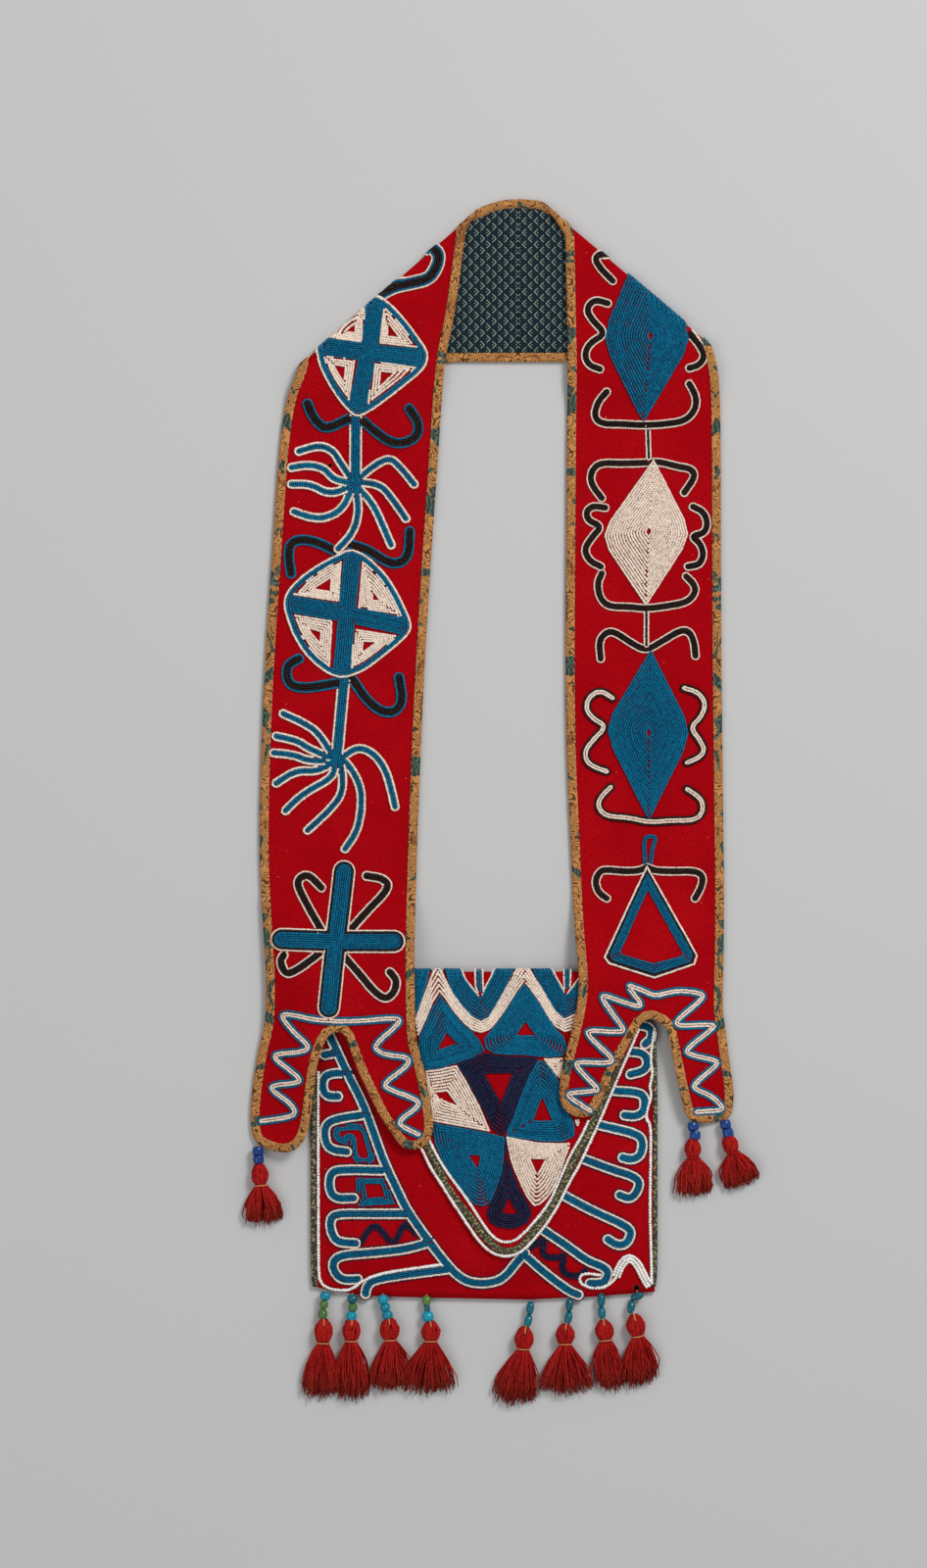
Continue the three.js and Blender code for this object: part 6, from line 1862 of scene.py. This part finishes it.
# %% All tassels
TASSELS = {
    "pouch_1": (
        [
            ("turquoise", 332, 1321, "round", 9.8, 10), ("green", 330.6, 1329.6, "round", 8.2, 9),
            ("green", 329.4, 1339.3, "round", 8.8, 12),
        ],
        (330.6, 1357), 19, (330, 1369), (325, 1422), 33,
    ),
    "pouch_2": (
        [
            ("teal", 359.7, 1324, "round", 9.4, 10), ("green", 360.2, 1332.8, "round", 8.4, 9.5),
            ("turquoise", 358.7, 1341.6, "round", 10, 10.8),
        ],
        (359, 1356), 19, (358.6, 1367), (357.5, 1423), 35,
    ),
    "pouch_3": (
        [
            ("turquoise", 391, 1324.6, "round", 10, 10.4), ("turquoise", 393, 1332.6, "round", 9.4, 8.6),
            ("turquoise", 395.4, 1340.6, "round", 10.2, 10.6),
        ],
        (398, 1355), 21, (398.5, 1366), (395.5, 1415), 37,
    ),
    "pouch_4": (
        [
            ("green", 435.3, 1325.6, "round", 8.2, 11), ("teal", 436, 1333.6, "drum", 5.4, 7.6),
            ("turquoise", 436.7, 1342, "round", 10.9, 12),
        ],
        (440, 1357), 20, (440, 1367), (436.5, 1419), 53,
    ),
    "pouch_5": (
        [("teal", 541, 1333, "oval", 7.2, 13.4), ("teal", 539, 1346, "oval", 7.2, 13.4)],
        (535, 1364), 20, (534, 1375), (523.5, 1428), 43,
    ),
    "pouch_6": (
        [("teal", 581, 1330, "oval", 7.2, 13.4), ("teal", 580, 1343, "oval", 7.2, 13.4)],
        (577, 1360), 20, (577, 1370), (578, 1419), 54,
    ),
    "pouch_7": (
        [("teal", 613.5, 1325, "oval", 7.2, 13.4), ("teal", 614, 1338, "oval", 7.2, 13.4)],
        (617, 1356), 19, (618, 1366), (622.5, 1414), 28,
    ),
    "pouch_8": (
        [("teal", 650, 1321.5, "oval", 7.2, 13.4, 1.0, 0.35), ("teal", 644, 1332, "oval", 7.2, 13.4)],
        (649, 1351), 20, (651, 1362), (653.5, 1410), 37,
    ),
    "left_tab": (
        [("cobalt", 263.5, 1174, "drum", 10, 9), ("cobalt", 264, 1182.5, "drum", 10, 9)],
        (266, 1198), 17, (267, 1209), (270, 1246), 36,
    ),
    "right_tab_1": (
        [("cobalt", 707, 1149, "drum", 10, 9), ("cobalt", 709, 1158, "drum", 10, 9)],
        (707, 1171.5), 17, (707.5, 1181), (708.5, 1218), 33,
    ),
    "right_tab_2": (
        [("cobalt", 740, 1147, "drum", 10, 9), ("cobalt", 742.5, 1155.5, "drum", 10, 9)],
        (745, 1167), 16, (748, 1176), (757.5, 1208), 36,
    ),
}
for name, (beads, head, head_width, neck, foot, foot_width) in TASSELS.items():
    on_tab = "tab" in name
    carrier = "left" if name == "left_tab" else "right" if on_tab else "pouch"
    on = CARRIERS[carrier][0]
    half, thick = head_width * UNIT_X / 2 - HEAD_TUCK, TAB_YARN if on_tab else 1.0
    yarn_piece = tassel(name, f"{name}_tassel", on, head, half, neck, foot, foot_width, thick)
    top = (beads[0][1], beads[0][2] - THREAD_LEAD)
    ends = np.array(head) - THREAD_ENDS * (np.array(neck) - np.array(head))
    front, slot = (0, "cobalt_beads") if on_tab else (half, "teal_beads")
    string = bead_string(name, f"{name}_bead_string", on, beads, top, ends, front, slot)
    carried[carrier] += [yarn_piece, string]
print("tassels", len(TASSELS))

# %% [markdown]
# ## What is cloth
#
# For each sheet the size it was cut to is printed: the box round its flat pattern, and the pattern's
# area.

# %% Sheets


def cut_size(grids):
    """The width and length of the box round a flat pattern, and the pattern's area, in metres."""
    corners = np.concatenate([grid.reshape(-1, 2) for grid in grids])
    area = 0
    for grid in grids:
        rise, fall = grid[1:, 1:] - grid[:-1, :-1], grid[1:, :-1] - grid[:-1, 1:]
        area += np.abs(rise[..., 0] * fall[..., 1] - rise[..., 1] * fall[..., 0]).sum() / 2
    return np.ptp(corners, axis=0) * MM, area * MM * MM


SHEETS = {
    "strap_left_wool": ("folded", ["strap_left_lining"], ["strap_left_binding"], "left"),
    "strap_right_wool": ("folded", ["strap_right_lining"], ["strap_right_binding"], "right"),
    "strap_left_lining": ("folded", [], [], None),
    "strap_right_lining": ("folded", [], [], None),
    "pouch_back": ("laid", [], [], None),
    "pouch_front": ("stretched", ["pouch_back"], ["pouch_left_edge", "pouch_right_edge"], "pouch"),
    "flap": ("folded", ["pouch_front"], [], "flap"),
}
for name, (held, below, trimming, carrier) in SHEETS.items():
    piece = pieces[name]
    flat, area = cut_size(patterns[piece.name])
    sewn_on = [pieces[other] for other in trimming] + carried.get(carrier, [])
    tuple(flat)
    [pieces[other] for other in below]
    print("sheet", name, "flat", np.round(flat, 4), "area", round(area, 5))

# %% [markdown]
# ## Floor, light and camera
#
# The bag lies on a plain grey floor. The camera looks straight down from far above, with a long lens, so
# that little perspective is left. One broad light comes from the upper right, a weaker one from the left,
# and the sky fills the shadows.

# %% Floor
HALF_FLOOR, FLOOR_DROP = 6.0, 0.0003
FLOOR_CORNERS = HALF_FLOOR * np.array([(-1, -1, 0), (1, -1, 0), (1, 1, 0), (-1, 1, 0)])
floor_mesh = bpy.data.meshes.new("floor")
floor_mesh.from_pydata(FLOOR_CORNERS.tolist(), [], [(0, 1, 2, 3)])
floor = bpy.data.objects.new("floor", floor_mesh)
floor.location.z = -FLOOR_DROP
bpy.context.scene.collection.objects.link(floor)
paper, tree, surface = new_material("grey_paper", roughness=0.9, base_color=shade(196, 196, 196))
floor_mesh.materials.append(paper)

# %% Camera
PATTERN_CENTRE, PATTERN_HEIGHT, PATTERN_UNIT = (473, 800), 1600, 0.5737
VIEW_HEIGHT = PATTERN_HEIGHT * PATTERN_UNIT * MM
CAMERA_HEIGHT, SENSOR, FARTHEST = 3.0, 36, 20
centre = (on_pouch(PATTERN_CENTRE) + on_left(PATTERN_CENTRE) + on_right(PATTERN_CENTRE)) / 3 * MM
camera_data = bpy.data.cameras.new("camera")
camera_data.sensor_fit = "VERTICAL"
camera_data.sensor_height = SENSOR
camera_data.lens = SENSOR * CAMERA_HEIGHT / VIEW_HEIGHT
camera_data.clip_end = FARTHEST
camera = bpy.data.objects.new("camera", camera_data)
camera.location = (centre[0], centre[1], CAMERA_HEIGHT)
bpy.context.scene.collection.objects.link(camera)
bpy.context.scene.camera = camera
print("camera", np.round(camera.location, 4), "lens", round(camera_data.lens, 1))

# %% Lights
SKY = 0.45


def area_light(name, place, size, power):
    """A square lamp at place that faces the middle of the table."""
    lamp = bpy.data.lights.new(name, "AREA")
    lamp.size = size
    lamp.energy = power
    made = bpy.data.objects.new(name, lamp)
    made.location = place
    toward = -np.array(place)
    pitch = np.arctan2(np.hypot(toward[0], toward[1]), -toward[2])
    made.rotation_euler = (pitch, 0, np.arctan2(toward[1], toward[0]) - np.pi / 2)
    bpy.context.scene.collection.objects.link(made)


area_light("key", (1.3, 1.5, 2.1), size=0.9, power=48)
area_light("fill", (-1.6, -0.6, 2.2), size=1.6, power=11)
world = bpy.data.worlds.new("studio")
bpy.context.scene.world = world
world.use_nodes = True
world.node_tree.nodes["Background"].inputs[0].default_value = (1, 1, 1, 1)
world.node_tree.nodes["Background"].inputs[1].default_value = SKY
bpy.context.scene.view_settings.view_transform = "Standard"
